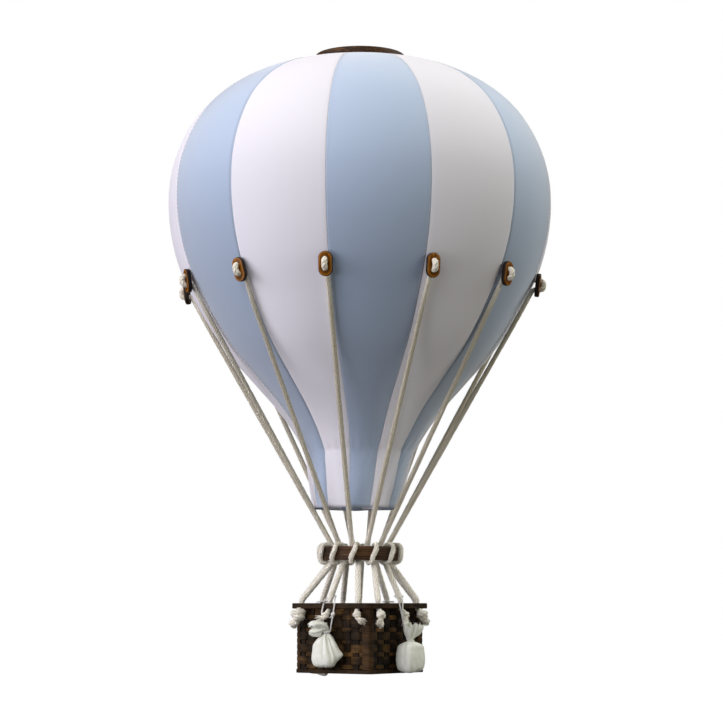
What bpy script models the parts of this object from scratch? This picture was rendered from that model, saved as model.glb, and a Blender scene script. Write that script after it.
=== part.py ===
# Hanging hot air balloon model for a room's ceiling: a sewn cloth envelope of twelve gores
# under a wooden crown disc, twelve toggled ropes, a wooden hoop, and a woven basket with
# four little sandbags. The origin is where the hanging eye's wire bears on its hook.
#
# Lengths are metres. Depths are measured down from the crown disc's top face. Azimuths are
# degrees about +Z from -Y, the basket's front, growing towards +X.
import math

import bmesh
import bpy
from mathutils import Matrix, Vector

MM = 0.001

# Running gap left between two solids that touch on the real model
GAP = 0.3 * MM

# Hanging eye: a ring of wire on a short shank
EYE_RADIUS = 2.4 * MM
EYE_WIRE = 0.6 * MM
DISC_TOP = -5.7 * MM

# Crown disc
DISC_RADIUS = 35.5 * MM
DISC_THICKNESS = 6.0 * MM
DISC_BEVEL = 1.2 * MM

# Envelope: the outline of a seam as (depth, radius) in millimetres, crown to mouth
GORE_COUNT = 12
FIRST_SEAM = -3.5
SEAM_GAP = 0.2
CLOTH_THICKNESS = 2.0 * MM
GORE_STEPS = 3
ENVELOPE_OUTLINE = (
    (6.6, 24.0), (8.0, 42.0), (17.4, 79.5), (30.0, 103.5), (50.0, 126.0), (75.0, 141.0),
    (100.0, 148.6), (125.0, 150.0), (150.0, 147.0), (175.0, 139.8), (205.0, 124.5),
    (235.0, 105.5), (262.0, 82.0), (285.0, 62.0), (303.0, 49.5), (319.0, 41.5),
    (343.0, 36.4), (359.0, 32.6),
)

# Corded edge sewn under the mouth
PIPING_HEIGHT = 1.3 * MM
PIPING_WIDTH = 1.6 * MM

# Toggles: two-holed wooden plates, their tops against the cloth and their feet stood off
TOGGLE_LENGTH = 18.5 * MM
TOGGLE_WIDTH = 10.4 * MM
TOGGLE_THICKNESS = 3.5 * MM
TOGGLE_HOLE = 2.25 * MM
TOGGLE_PITCH = 7.2 * MM
TOGGLE_TILT = math.radians(20)
TOGGLE_DEPTH = 184.8 * MM

# Ropes: the stitch through the toggle is pulled thinner than the taut run
ROPE_RADIUS = 2.35 * MM
STITCH_RADIUS = 1.9 * MM
STITCH_BEND = 2.3 * MM
STITCH_START = 1.2 * MM
ROPE_REST_DEPTH = 210.0 * MM
FOOT_RADIUS = 1.95 * MM
KNOT_RADIUS = 3.3 * MM
TAIL_DROP = 13.5 * MM
TAIL_DROP_BY_BAG = 9.0 * MM
TAIL_FLARE = 18.5

# Load hoop, and the half angle between a rope's two passes inside it
HOOP_OUTER = 30.0 * MM
HOOP_INNER = 25.0 * MM
HOOP_TOP = 389.0 * MM
HOOP_HEIGHT = 10.6 * MM
WRAP_HALF_ANGLE = 6.8

# Basket: outer half width of the walls, and the rim and floor
BASKET_HALF = 35.5 * MM
WALL_THICKNESS = 3.0 * MM
RIM_TOP = 432.5 * MM
RIM_HEIGHT = 4.2 * MM
RIM_OUTER_HALF = 39.3 * MM
RIM_INNER_HALF = 31.0 * MM
RIM_CORNER = 3.5 * MM
BASKET_BOTTOM = 485.8 * MM
FLOOR_THICKNESS = 3.0 * MM
NOTCH_WIDTH = 5.6 * MM
NOTCH_DEPTH = 7.0 * MM
ROPE_HOLE_LINE = 36.3 * MM
ROPE_HOLE = 2.3 * MM

# Sides of the basket: name, facing azimuth, and where its three ropes pass the rim, in
# millimetres along the side from its middle
BASKET_SIDES = (
    ("front", 0.0, (-28.8, -2.0, 24.5)),
    ("right", 90.0, (-26.5, 3.0, 25.0)),
    ("back", 180.0, (-27.0, 0.0, 27.0)),
    ("left", 270.0, (-27.0, 0.0, 27.0)),
)

# Ropes in the order of their seams: toggle's offset from its seam in degrees, side of the
# basket, and which of that side's three holes
ROPES = (
    (0.0, 0, 1), (-0.8, 0, 2), (2.0, 1, 0), (1.6, 1, 1), (1.0, 1, 2), (0.0, 2, 0),
    (0.0, 2, 1), (0.0, 2, 2), (0.0, 3, 0), (0.0, 3, 1), (-0.5, 3, 2), (-1.0, 0, 0),
)

# Sandbags, one on each side's middle rope: neck and bottom below the rim's top, half width
# and half depth, millimetres
SANDBAGS = (
    ("front", 22.0, 49.5, 12.6, 9.6),
    ("right", 28.5, 55.0, 12.2, 9.6),
    ("back", 24.0, 50.5, 12.4, 9.6),
    ("left", 31.0, 58.5, 12.4, 9.6),
)
BAG_NECK_RADIUS = 2.4 * MM
BAG_STEPS = 12

# A sandbag's cord: its two strands straddle the rope, this far to each side at the rim
BAG_CORD_RADIUS = 0.8 * MM
BAG_CORD_SPREAD = 5.6 * MM
BAG_CORD_TURN_STEPS = 6

# A sandbag's outline, bottom to ruffle, in shares of its half width and its height to the neck
BAG_OUTLINE = (
    (0.0, 0.0), (0.62, 0.02), (0.94, 0.14), (1.0, 0.38), (0.9, 0.62), (0.6, 0.82),
    (0.19, 0.93), (0.19, 1.04), (0.34, 1.12), (0.5, 1.3), (0.42, 1.36), (0.0, 1.33),
)
BAG_FLAT_BELOW = 0.9
RUFFLE_START = 1.04
RUFFLE_LEAN = 0.9

# Colours as linear RGB, roughness and metallic
FINISHES = {
    "cloth_blue": ((0.42, 0.56, 0.70), 0.85, 0.0),
    "cloth_white": ((0.82, 0.80, 0.86), 0.85, 0.0),
    "cotton_rope": ((0.72, 0.68, 0.58), 0.9, 0.0),
    "cotton_bag": ((0.75, 0.72, 0.63), 0.9, 0.0),
    "toggle_wood": ((0.32, 0.15, 0.04), 0.5, 0.0),
    "dark_wood": ((0.07, 0.035, 0.018), 0.5, 0.0),
    "wicker": ((0.045, 0.025, 0.014), 0.6, 0.0),
    "piping": ((0.10, 0.11, 0.15), 0.8, 0.0),
    "brass": ((0.60, 0.42, 0.18), 0.35, 1.0),
}


def clear_scene():
    for obj in list(bpy.data.objects):
        bpy.data.objects.remove(obj)


def material(slot):
    found = bpy.data.materials.get(slot)
    if found:
        return found
    color, roughness, metallic = FINISHES[slot]
    made = bpy.data.materials.new(slot)
    made.use_nodes = True
    shader = made.node_tree.nodes["Principled BSDF"]
    shader.inputs["Base Color"].default_value = (*color, 1.0)
    shader.inputs["Roughness"].default_value = roughness
    shader.inputs["Metallic"].default_value = metallic
    return made


def add_object(name, data, slot, parent=None):
    obj = bpy.data.objects.new(name, data)
    bpy.context.scene.collection.objects.link(obj)
    if not data.materials:
        data.materials.append(material(slot))
    obj.parent = parent
    return obj


def finish_mesh(name, bm, smooth_angle=None):
    bmesh.ops.recalc_face_normals(bm, faces=bm.faces)
    mesh = bpy.data.meshes.new(name)
    bm.to_mesh(mesh)
    bm.free()
    if smooth_angle is not None:
        mesh.shade_smooth()
        mesh.set_sharp_from_angle(angle=math.radians(smooth_angle))
    return mesh


def add_empty(name, location, azimuth=0.0):
    empty = bpy.data.objects.new(name, None)
    bpy.context.scene.collection.objects.link(empty)
    empty.location = location
    empty.rotation_euler = (0.0, 0.0, math.radians(azimuth))
    return empty


def radial(azimuth):
    angle = math.radians(azimuth)
    return Vector((math.sin(angle), -math.cos(angle), 0.0))


def polar(radius, azimuth, depth):
    return radial(azimuth) * radius + Vector((0.0, 0.0, DISC_TOP - depth))


def seam_azimuth(index):
    return FIRST_SEAM + index * 360.0 / GORE_COUNT


def envelope_radius(depth):
    for (d0, r0), (d1, r1) in zip(ENVELOPE_OUTLINE, ENVELOPE_OUTLINE[1:]):
        if depth <= d1 * MM:
            return (r0 + (r1 - r0) * (depth / MM - d0) / (d1 - d0)) * MM
    return ENVELOPE_OUTLINE[-1][1] * MM


# Outline as (radius, z) points, and the same line moved inwards by a distance
def envelope_line(inset=0.0):
    points = [Vector((radius * MM, DISC_TOP - depth * MM)) for depth, radius in ENVELOPE_OUTLINE]
    line = []
    for index, point in enumerate(points):
        ahead = points[min(index + 1, len(points) - 1)]
        behind = points[max(index - 1, 0)]
        along = (ahead - behind).normalized()
        line.append(point + Vector((along.y, -along.x)) * inset)
    return line


# One gore: the section of the cloth at one seam, spun to the next seam
def gore_mesh():
    bm = bmesh.new()
    outer = [bm.verts.new((0.0, -p.x, p.y)) for p in envelope_line()]
    inner = [bm.verts.new((0.0, -p.x, p.y)) for p in envelope_line(CLOTH_THICKNESS)]
    for i in range(len(outer) - 1):
        bm.faces.new((outer[i], outer[i + 1], inner[i + 1], inner[i]))
    span = math.radians(360.0 / GORE_COUNT - SEAM_GAP)
    turn_in = Matrix.Rotation(math.radians(SEAM_GAP / 2.0), 3, "Z")
    bmesh.ops.transform(bm, matrix=turn_in, verts=bm.verts)
    bmesh.ops.spin(bm, geom=bm.faces[:], cent=(0, 0, 0), axis=(0, 0, 1), angle=span,
                   steps=GORE_STEPS)
    return finish_mesh("gore", bm, 40)


def build_envelope():
    blue_gore = gore_mesh()
    white_gore = blue_gore.copy()
    for index in range(GORE_COUNT):
        mesh, slot = (blue_gore, "cloth_blue") if index % 2 else (white_gore, "cloth_white")
        gore = add_object(f"gore_{index + 1:02d}", mesh, slot)
        gore.rotation_euler.z = math.radians(seam_azimuth(index))


# A closed loop of edges through points, for filling and extruding
def add_loop(bm, points):
    verts = [bm.verts.new(point) for point in points]
    for index, vert in enumerate(verts):
        bm.edges.new((vert, verts[(index + 1) % len(verts)]))
    return verts


# A ring of rectangular section, spun about the vertical axis
def ring_mesh(name, inner, outer, top, bottom, steps):
    bm = bmesh.new()
    add_loop(bm, [(0.0, -r, z) for r, z in ((inner, top), (outer, top), (outer, bottom),
                                            (inner, bottom))])
    bmesh.ops.spin(bm, geom=bm.verts[:] + bm.edges[:], cent=(0, 0, 0), axis=(0, 0, 1),
                   angle=2.0 * math.pi, steps=steps, use_merge=True)
    bmesh.ops.remove_doubles(bm, verts=bm.verts, dist=1e-6)
    return finish_mesh(name, bm, 40)


def build_mouth_piping():
    top = DISC_TOP - ENVELOPE_OUTLINE[-1][0] * MM - 2.0 * GAP
    outer = ENVELOPE_OUTLINE[-1][1] * MM
    mesh = ring_mesh("mouth_piping", outer - PIPING_WIDTH, outer, top, top - PIPING_HEIGHT, 36)
    add_object("mouth_piping", mesh, "piping")


def build_crown_disc():
    bm = bmesh.new()
    bmesh.ops.create_cone(bm, cap_ends=True, segments=40, radius1=DISC_RADIUS,
                          radius2=DISC_RADIUS, depth=DISC_THICKNESS)
    rims = [e for e in bm.edges if abs(e.verts[0].co.z - e.verts[1].co.z) < 1e-6]
    bmesh.ops.bevel(bm, geom=rims, offset=DISC_BEVEL, segments=1, profile=0.5,
                    affect="EDGES", material=-1)
    disc = add_object("crown_disc", finish_mesh("crown_disc", bm, 30), "dark_wood")
    disc.location.z = DISC_TOP - DISC_THICKNESS / 2.0


# A tube through points, each with its own radius, on a straight-sided curve
def tube(name, points, slot, sides=6, parent=None):
    curve = bpy.data.curves.new(name, "CURVE")
    curve.dimensions = "3D"
    curve.bevel_depth = 1.0
    curve.bevel_resolution = sides // 2 - 2
    curve.use_fill_caps = True
    curve.render_resolution_u = 0
    spline = curve.splines.new("POLY")
    spline.points.add(len(points) - 1)
    for target, (position, radius) in zip(spline.points, points):
        target.co = (*position, 1.0)
        target.radius = radius
    return add_object(name, curve, slot, parent)


# The eye is one wire: up the shank, then round the ring until it nearly closes
def build_hanging_eye():
    centre = Vector((0.0, 0.0, EYE_WIRE - EYE_RADIUS))
    points = [(Vector((0.0, 0.0, DISC_TOP + GAP)), EYE_WIRE)]
    for step in range(11):
        angle = math.radians(-90 + 300 * step / 10)
        offset = Vector((math.cos(angle), 0.0, math.sin(angle))) * EYE_RADIUS
        points.append((centre + offset, EYE_WIRE))
    tube("hanging_eye", points, "brass")


# Outward and downward directions of the cloth where the toggles sit
def cloth_frame(azimuth, depth):
    step = 5.0 * MM
    slope = (envelope_radius(depth + step) - envelope_radius(depth - step)) / (2.0 * step)
    outward = radial(azimuth)
    along = (outward * slope + Vector((0.0, 0.0, -1.0))).normalized()
    normal = (outward + Vector((0.0, 0.0, -1.0)) * -slope).normalized()
    return along, normal


# A toggle's plate as a frame: origin at the middle of its back face, then its axes
def toggle_frame(index):
    azimuth = seam_azimuth(index) + ROPES[index][0]
    along, normal = cloth_frame(azimuth, TOGGLE_DEPTH)
    seat = polar(envelope_radius(TOGGLE_DEPTH), azimuth, TOGGLE_DEPTH)
    length_axis = along * math.cos(TOGGLE_TILT) + normal * math.sin(TOGGLE_TILT)
    face_axis = normal * math.cos(TOGGLE_TILT) - along * math.sin(TOGGLE_TILT)
    lift = 2.0 * GAP + TOGGLE_LENGTH / 2.0 * math.sin(TOGGLE_TILT)
    return seat + normal * lift, length_axis, face_axis


def toggle_mesh():
    bm = bmesh.new()
    half_straight = (TOGGLE_LENGTH - TOGGLE_WIDTH) / 2.0
    bmesh.ops.create_circle(bm, segments=16, radius=TOGGLE_WIDTH / 2.0)
    for vert in bm.verts:
        vert.co.y += math.copysign(half_straight, vert.co.y) if abs(vert.co.y) > 1e-6 else 0.0
    for side in (-1.0, 1.0):
        place = Matrix.Translation((0.0, side * TOGGLE_PITCH / 2.0, 0.0))
        bmesh.ops.create_circle(bm, segments=8, radius=TOGGLE_HOLE, matrix=place)
    bmesh.ops.triangle_fill(bm, edges=bm.edges[:], use_beauty=True, use_dissolve=False)
    plate = bmesh.ops.extrude_face_region(bm, geom=bm.faces[:])["geom"]
    lifted = [v for v in plate if isinstance(v, bmesh.types.BMVert)]
    bmesh.ops.translate(bm, verts=lifted, vec=(0.0, 0.0, TOGGLE_THICKNESS))
    return finish_mesh("toggle", bm, 40)


def build_toggles():
    mesh = toggle_mesh()
    for index in range(GORE_COUNT):
        origin, length_axis, face_axis = toggle_frame(index)
        across = length_axis.cross(face_axis)
        toggle = add_object(f"toggle_{index + 1:02d}", mesh, "toggle_wood")
        turn = Matrix((across, length_axis, face_axis)).transposed()
        toggle.matrix_world = Matrix.Translation(origin) @ turn.to_4x4()


# Quarter bend in a plane: from a start point, leaving along one axis and turning to another
def quarter_bend(start, leave, turn_to, radius, steps=2):
    centre = start + turn_to * radius
    points = []
    for step in range(steps + 1):
        angle = math.pi / 2.0 * step / steps
        points.append(centre - turn_to * radius * math.cos(angle) + leave * radius * math.sin(angle))
    return points


# Out of the upper hole, over the plate's face, back through the lower hole and down
def stitch_points(index):
    origin, along, out = toggle_frame(index)
    half = TOGGLE_PITCH / 2.0
    start = origin - along * half - out * STITCH_START
    leaves_face = origin - along * half + out * TOGGLE_THICKNESS
    over = quarter_bend(leaves_face, out, along, STITCH_BEND)
    top = TOGGLE_THICKNESS + STITCH_BEND
    down_bend = quarter_bend(origin + along * (half - STITCH_BEND) + out * top, along, -out,
                             STITCH_BEND)
    behind = quarter_bend(origin + along * half - out * 0.2 * MM, -out, along, STITCH_BEND)
    points = [start, *over, *down_bend, *behind]
    return [(point, STITCH_RADIUS) for point in points]


# Round the hoop's wall: down inside it, under, up the outside, over and down inside again.
# The route's columns are radius, azimuth and depth
def wrap_points(azimuth):
    first = azimuth - WRAP_HALF_ANGLE
    last = azimuth + WRAP_HALF_ANGLE
    off = ROPE_RADIUS + GAP
    diagonal = off * math.sqrt(0.5)
    bottom = HOOP_TOP + HOOP_HEIGHT
    route = (
        (HOOP_INNER - off - 0.4 * MM, first, HOOP_TOP - 1.0 * MM),
        (HOOP_INNER - off, first, bottom),
        (HOOP_INNER - diagonal, first, bottom + diagonal),
        (HOOP_INNER, first, bottom + off),
        (HOOP_OUTER, first + 0.5, bottom + off),
        (HOOP_OUTER + diagonal, first + 1.0, bottom + diagonal),
        (HOOP_OUTER + off, first + 1.5, bottom),
        (HOOP_OUTER + off, last - 1.5, HOOP_TOP),
        (HOOP_OUTER + diagonal, last - 1.0, HOOP_TOP - diagonal),
        (HOOP_OUTER, last - 0.5, HOOP_TOP - off),
        (HOOP_INNER, last, HOOP_TOP - off),
        (HOOP_INNER - diagonal, last, HOOP_TOP - diagonal),
        (HOOP_INNER - off, last, HOOP_TOP),
        (HOOP_INNER - off, last, bottom + 0.8 * MM),
    )
    return [(polar(*point), ROPE_RADIUS) for point in route]


# Down through the rim's hole, out over the wall's notch, and into the knot and its tail.
# The route's columns are distance out from the axis, depth and rope radius
def foot_points(side, along, tail_drop):
    facing = BASKET_SIDES[side][1]
    out = radial(facing)
    sideways = radial(facing + 90.0)
    rim_bottom = RIM_TOP + RIM_HEIGHT
    tail_radius = ROPE_RADIUS * (1.0 + TAIL_FLARE * tail_drop)
    route = (
        (ROPE_HOLE_LINE, RIM_TOP - 2.5 * MM, ROPE_RADIUS),
        (ROPE_HOLE_LINE, RIM_TOP - 0.3 * MM, FOOT_RADIUS),
        (ROPE_HOLE_LINE, rim_bottom + 0.2 * MM, FOOT_RADIUS),
        (ROPE_HOLE_LINE + 1.4 * MM, rim_bottom + 2.0 * MM, FOOT_RADIUS),
        (ROPE_HOLE_LINE + 3.4 * MM, rim_bottom + 3.4 * MM, KNOT_RADIUS * 0.86),
        (ROPE_HOLE_LINE + 5.2 * MM, rim_bottom + 5.4 * MM, KNOT_RADIUS),
        (ROPE_HOLE_LINE + 5.8 * MM, rim_bottom + 7.8 * MM, FOOT_RADIUS),
        (ROPE_HOLE_LINE + 6.0 * MM, rim_bottom + tail_drop, tail_radius),
    )
    points = []
    for outward, depth, radius in route:
        position = out * outward + sideways * along + Vector((0.0, 0.0, DISC_TOP - depth))
        points.append((position, radius))
    return points


def build_ropes():
    rest_radius = envelope_radius(ROPE_REST_DEPTH) + (ROPE_RADIUS + 2.0 * GAP) * 1.2
    for index, (offset, side, hole) in enumerate(ROPES):
        seam = seam_azimuth(index)
        rest = (polar(rest_radius, seam + offset * 0.8, ROPE_REST_DEPTH), ROPE_RADIUS)
        along = BASKET_SIDES[side][2][hole] * MM
        tail_drop = TAIL_DROP_BY_BAG if hole == 1 else TAIL_DROP
        foot = foot_points(side, along, tail_drop)
        points = [*stitch_points(index), rest, *wrap_points(seam), *foot]
        tube(f"rope_{index + 1:02d}", points, "cotton_rope")


def build_load_hoop():
    top = DISC_TOP - HOOP_TOP
    mesh = ring_mesh("load_hoop", HOOP_INNER, HOOP_OUTER, top, top - HOOP_HEIGHT, 36)
    add_object("load_hoop", mesh, "dark_wood")


def fill_and_extrude(bm, vec):
    bmesh.ops.triangle_fill(bm, edges=bm.edges[:], use_beauty=True, use_dissolve=False)
    made = bmesh.ops.extrude_face_region(bm, geom=bm.faces[:])["geom"]
    lifted = [v for v in made if isinstance(v, bmesh.types.BMVert)]
    bmesh.ops.translate(bm, verts=lifted, vec=vec)


def arc_points(centre, radius, start, sweep, steps):
    points = []
    for step in range(steps + 1):
        angle = math.radians(start + sweep * step / steps)
        points.append((centre[0] + radius * math.cos(angle), centre[1] + radius * math.sin(angle), 0))
    return points


def build_basket_rim():
    bm = bmesh.new()
    outline = []
    corner = RIM_OUTER_HALF - RIM_CORNER
    for sx, sy, start in ((1, 1, 0), (-1, 1, 90), (-1, -1, 180), (1, -1, 270)):
        outline += arc_points((sx * corner, sy * corner), RIM_CORNER, start, 90, 3)
    add_loop(bm, outline)
    inner = RIM_INNER_HALF
    add_loop(bm, ((inner, inner, 0), (-inner, inner, 0), (-inner, -inner, 0), (inner, -inner, 0)))
    for _, facing, holes in BASKET_SIDES:
        for along in holes:
            middle = radial(facing) * ROPE_HOLE_LINE + radial(facing + 90.0) * along * MM
            add_loop(bm, arc_points(middle, ROPE_HOLE, 0, 315, 7))
    fill_and_extrude(bm, (0.0, 0.0, RIM_HEIGHT))
    rim = add_object("basket_rim", finish_mesh("basket_rim", bm, 30), "wicker")
    rim.location.z = DISC_TOP - RIM_TOP - RIM_HEIGHT


# A wall seen from outside, notched at its top for the ropes, mitred at both ends
def wall_mesh(name, holes):
    bm = bmesh.new()
    half = BASKET_HALF - GAP / 2.0
    top = DISC_TOP - RIM_TOP - RIM_HEIGHT - GAP
    bottom = DISC_TOP - BASKET_BOTTOM
    outline = [(-half, 0, bottom), (-half, 0, top)]
    for along in holes:
        left = along * MM - NOTCH_WIDTH / 2.0
        right = along * MM + NOTCH_WIDTH / 2.0
        outline += [(left, 0, top), (left, 0, top - NOTCH_DEPTH)]
        outline += [(right, 0, top - NOTCH_DEPTH), (right, 0, top)]
    outline += [(half, 0, top), (half, 0, bottom)]
    add_loop(bm, outline)
    fill_and_extrude(bm, (0.0, WALL_THICKNESS, 0.0))
    for vert in bm.verts:
        if vert.co.y > WALL_THICKNESS / 2.0 and abs(vert.co.x) > half - 1e-6:
            vert.co.x -= math.copysign(WALL_THICKNESS, vert.co.x)
    return finish_mesh(name, bm)


def build_basket_walls():
    for side, facing, holes in BASKET_SIDES:
        name = f"basket_wall_{side}"
        wall = add_object(name, wall_mesh(name, holes), "wicker")
        wall.location = radial(facing) * BASKET_HALF
        wall.rotation_euler.z = math.radians(facing)


def build_basket_floor():
    bm = bmesh.new()
    bmesh.ops.create_cube(bm, size=1.0)
    width = 2.0 * (BASKET_HALF - WALL_THICKNESS - GAP)
    bmesh.ops.scale(bm, vec=(width, width, FLOOR_THICKNESS), verts=bm.verts)
    floor = add_object("basket_floor", finish_mesh("basket_floor", bm), "wicker")
    floor.location.z = DISC_TOP - BASKET_BOTTOM + FLOOR_THICKNESS / 2.0


# Where a sandbag's cord passes over the rim's outer edge, on the line that it swings about
def hinge_point(side):
    _, facing, holes = BASKET_SIDES[side]
    outward = RIM_OUTER_HALF + GAP + BAG_CORD_RADIUS
    point = radial(facing) * outward + radial(facing + 90.0) * holes[1] * MM
    point.z = DISC_TOP - RIM_TOP + GAP + BAG_CORD_RADIUS
    return point


# The bag in its pivot's frame: outward is -Y, its neck and bottom are below the pivot
def sandbag_mesh(name, neck, bottom, half_width, half_depth):
    bm = bmesh.new()
    tall = bottom - neck
    verts = [bm.verts.new((x * half_width, 0.0, z * tall)) for x, z in BAG_OUTLINE]
    edges = [bm.edges.new(pair) for pair in zip(verts, verts[1:])]
    bmesh.ops.spin(bm, geom=verts + edges, cent=(0, 0, 0), axis=(0, 0, 1),
                   angle=2.0 * math.pi, steps=BAG_STEPS, use_merge=True)
    bmesh.ops.remove_doubles(bm, verts=bm.verts, dist=1e-6)
    for vert in bm.verts:
        above = vert.co.z - tall * RUFFLE_START
        if vert.co.z < tall * BAG_FLAT_BELOW:
            vert.co.y *= half_depth / half_width
        if above > 0.0:
            vert.co.y -= above * RUFFLE_LEAN
    return finish_mesh(name, bm, 60)


def build_sandbags():
    rim_drop = GAP + BAG_CORD_RADIUS
    for side, (name, neck, bottom, half_width, half_depth) in enumerate(SANDBAGS):
        facing = BASKET_SIDES[side][1]
        pivot = add_empty(f"bag_pivot_{name}", hinge_point(side), facing)
        wall_back = RIM_OUTER_HALF + rim_drop - BASKET_HALF
        centre_out = (half_depth + 2.0 * GAP / MM) * MM - wall_back
        mesh = sandbag_mesh(f"sandbag_{name}", neck * MM, bottom * MM, half_width * MM,
                            half_depth * MM)
        bag = add_object(f"sandbag_{name}", mesh, "cotton_bag", pivot)
        bag.location = (0.0, -centre_out, -bottom * MM - rim_drop)
        build_bag_cord(name, neck * MM + rim_drop, centre_out, pivot)


# Two strands down from the rim and one turn round the front of the bag's neck
def build_bag_cord(name, neck, centre_out, pivot):
    turn = BAG_NECK_RADIUS + GAP + BAG_CORD_RADIUS
    start = -(BAG_CORD_RADIUS + GAP)
    meets = 1.5 * MM - neck
    points = [Vector((-BAG_CORD_SPREAD, 0.0, start)), Vector((-turn, -centre_out + turn, meets))]
    for step in range(BAG_CORD_TURN_STEPS + 1):
        angle = math.radians(150 + 240 * step / BAG_CORD_TURN_STEPS)
        points.append(Vector((turn * math.cos(angle), -centre_out + turn * math.sin(angle), -neck)))
    points += [Vector((turn, -centre_out + turn, meets)), Vector((BAG_CORD_SPREAD, 0.0, start))]
    tube(f"bag_cord_{name}", [(point, BAG_CORD_RADIUS) for point in points], "cotton_rope",
         parent=pivot)


# The fixed part of the bag's cord: it lies on the rim and goes round behind the rope's foot
def build_bag_hitches():
    for side, (name, *_) in enumerate(SANDBAGS):
        facing = BASKET_SIDES[side][1]
        pivot = hinge_point(side)
        out = radial(facing)
        sideways = radial(facing + 90.0)
        inward = RIM_OUTER_HALF + GAP + BAG_CORD_RADIUS - ROPE_HOLE_LINE
        loop = ROPE_RADIUS + 2.0 * GAP + BAG_CORD_RADIUS
        end = out * 0.4 * MM
        over = out * -1.5 * MM
        near = BAG_CORD_SPREAD - 0.6 * MM
        points = [pivot - sideways * BAG_CORD_SPREAD + end, pivot - sideways * near + over]
        for step in range(BAG_CORD_TURN_STEPS + 1):
            angle = math.radians(180 * step / BAG_CORD_TURN_STEPS)
            behind = out * -(inward + loop * math.sin(angle)) - sideways * loop * math.cos(angle)
            points.append(pivot + behind)
        points += [pivot + sideways * near + over, pivot + sideways * BAG_CORD_SPREAD + end]
        tube(f"bag_hitch_{name}", [(point, BAG_CORD_RADIUS) for point in points], "cotton_rope")


def main():
    clear_scene()
    build_hanging_eye()
    build_crown_disc()
    build_envelope()
    build_mouth_piping()
    build_toggles()
    build_ropes()
    build_load_hoop()
    build_basket_rim()
    build_basket_walls()
    build_basket_floor()
    build_sandbags()
    build_bag_hitches()
    bpy.context.view_layer.update()


main()
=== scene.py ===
# Finish of a hanging hot air balloon model: sewn cotton gores under a stained wooden disc,
# twisted cotton ropes with wooden toggles, a wooden hoop, and a dark woven basket with four
# gathered sandbags. Lengths are metres, and MM turns millimetres to metres. Depths are
# measured down from the crown disc's top face, azimuths in degrees about +Z from -Y.
from math import (atan2, copysign, cos, degrees, exp, hypot, pi, radians, remainder, sin,
                  sqrt, tanh)
from random import Random

import bmesh
import bpy
import numpy as np
from mathutils import Matrix, Vector, noise


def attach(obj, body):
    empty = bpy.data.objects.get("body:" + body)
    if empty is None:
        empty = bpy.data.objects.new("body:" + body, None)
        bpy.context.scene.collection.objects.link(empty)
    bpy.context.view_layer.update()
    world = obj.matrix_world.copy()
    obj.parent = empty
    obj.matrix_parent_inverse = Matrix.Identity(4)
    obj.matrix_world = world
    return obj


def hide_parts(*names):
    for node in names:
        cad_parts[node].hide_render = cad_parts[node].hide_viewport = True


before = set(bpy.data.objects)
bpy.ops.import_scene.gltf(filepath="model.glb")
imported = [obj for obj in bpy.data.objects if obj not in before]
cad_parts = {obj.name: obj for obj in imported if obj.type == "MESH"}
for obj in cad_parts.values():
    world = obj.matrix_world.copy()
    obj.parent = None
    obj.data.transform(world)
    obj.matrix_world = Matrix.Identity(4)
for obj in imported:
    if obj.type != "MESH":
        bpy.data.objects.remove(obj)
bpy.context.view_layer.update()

MM = 0.001
UP = Vector((0.0, 0.0, 1.0))

# Photograph: its height and focal length in pixels, and where the camera stood
PHOTO_HEIGHT = 724
FOCAL_PIXELS = 2300.0
CAMERA_AZIMUTH = 36.0
CAMERA_DISTANCE = 1.7936
CAMERA_SIDE = 1.2 * MM
CAMERA_HEIGHT = -0.4358
CAMERA_PITCH = 5.908
FLOOR_HEIGHT = -0.60

GAP = 0.3 * MM
DISC_TOP = -5.7 * MM
DISC_RADIUS = 35.5 * MM
DISC_THICKNESS = 6.0 * MM
DISC_EDGE = 1.1 * MM
EYE_RADIUS = 2.4 * MM
EYE_WIRE = 0.6 * MM
EYE_SUNK = 1.0 * MM
EYE_BEND = 300.0
EYE_STEPS = 40

# Envelope: the outline of a seam as (depth, radius) in millimetres, crown to mouth
GORE_COUNT = 12
FIRST_SEAM = -3.5
CLOTH_THICKNESS = 1.6 * MM
ENVELOPE_OUTLINE = (
    (6.6, 24.0), (8.0, 42.0), (17.4, 79.5), (30.0, 103.5), (50.0, 126.0), (75.0, 141.0),
    (100.0, 148.6), (125.0, 150.0), (150.0, 147.0), (175.0, 139.8), (205.0, 124.5),
    (235.0, 105.5), (262.0, 82.0), (285.0, 62.0), (303.0, 49.5), (315.0, 43.0),
    (321.0, 40.9), (332.0, 38.5), (343.0, 36.3), (359.0, 32.6),
)
GORE_STATION = 2.6 * MM
GORE_STEPS = 20
SEAM_INSET = 0.0006
SEAM_DIP = 0.32 * MM
SEAM_DIP_WIDTH = 0.8 * MM
GORE_BULGE = 0.5 * MM
GORE_BULGE_START = 60.0 * MM
SKIRT_START = 300.0 * MM
SKIRT_LEAN = 3.4 * MM
SKIRT_FOLD = 0.5 * MM
SKIRT_FOLD_FADE = 45.0 * MM
NECK_CREASE = 316.0 * MM
NECK_CREASE_SPREAD = 9.0 * MM
NECK_CREASE_WIDTH = 1.8 * MM
NECK_CREASE_DEPTH = 0.75 * MM
NECK_RIPPLE = 1.2 * MM
NECK_WRINKLE = 0.9 * MM
STITCH_FROM = 45.0 * MM
STITCH_SHORT = 2.0 * MM
STITCH_PITCH = 3.3 * MM
STITCH_LENGTH = 2.2 * MM
THREAD_RADIUS = 0.18 * MM
PIPING_RADIUS = 0.42 * MM

# The skirt's folds: how many round, share of their depth, start, and slant with depth
SKIRT_FOLDS = ((5.0, 1.0, 0.8, 0.0), (8.0, 0.7, 2.1, 20.0), (13.0, 0.5, 4.0, 0.0))

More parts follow.
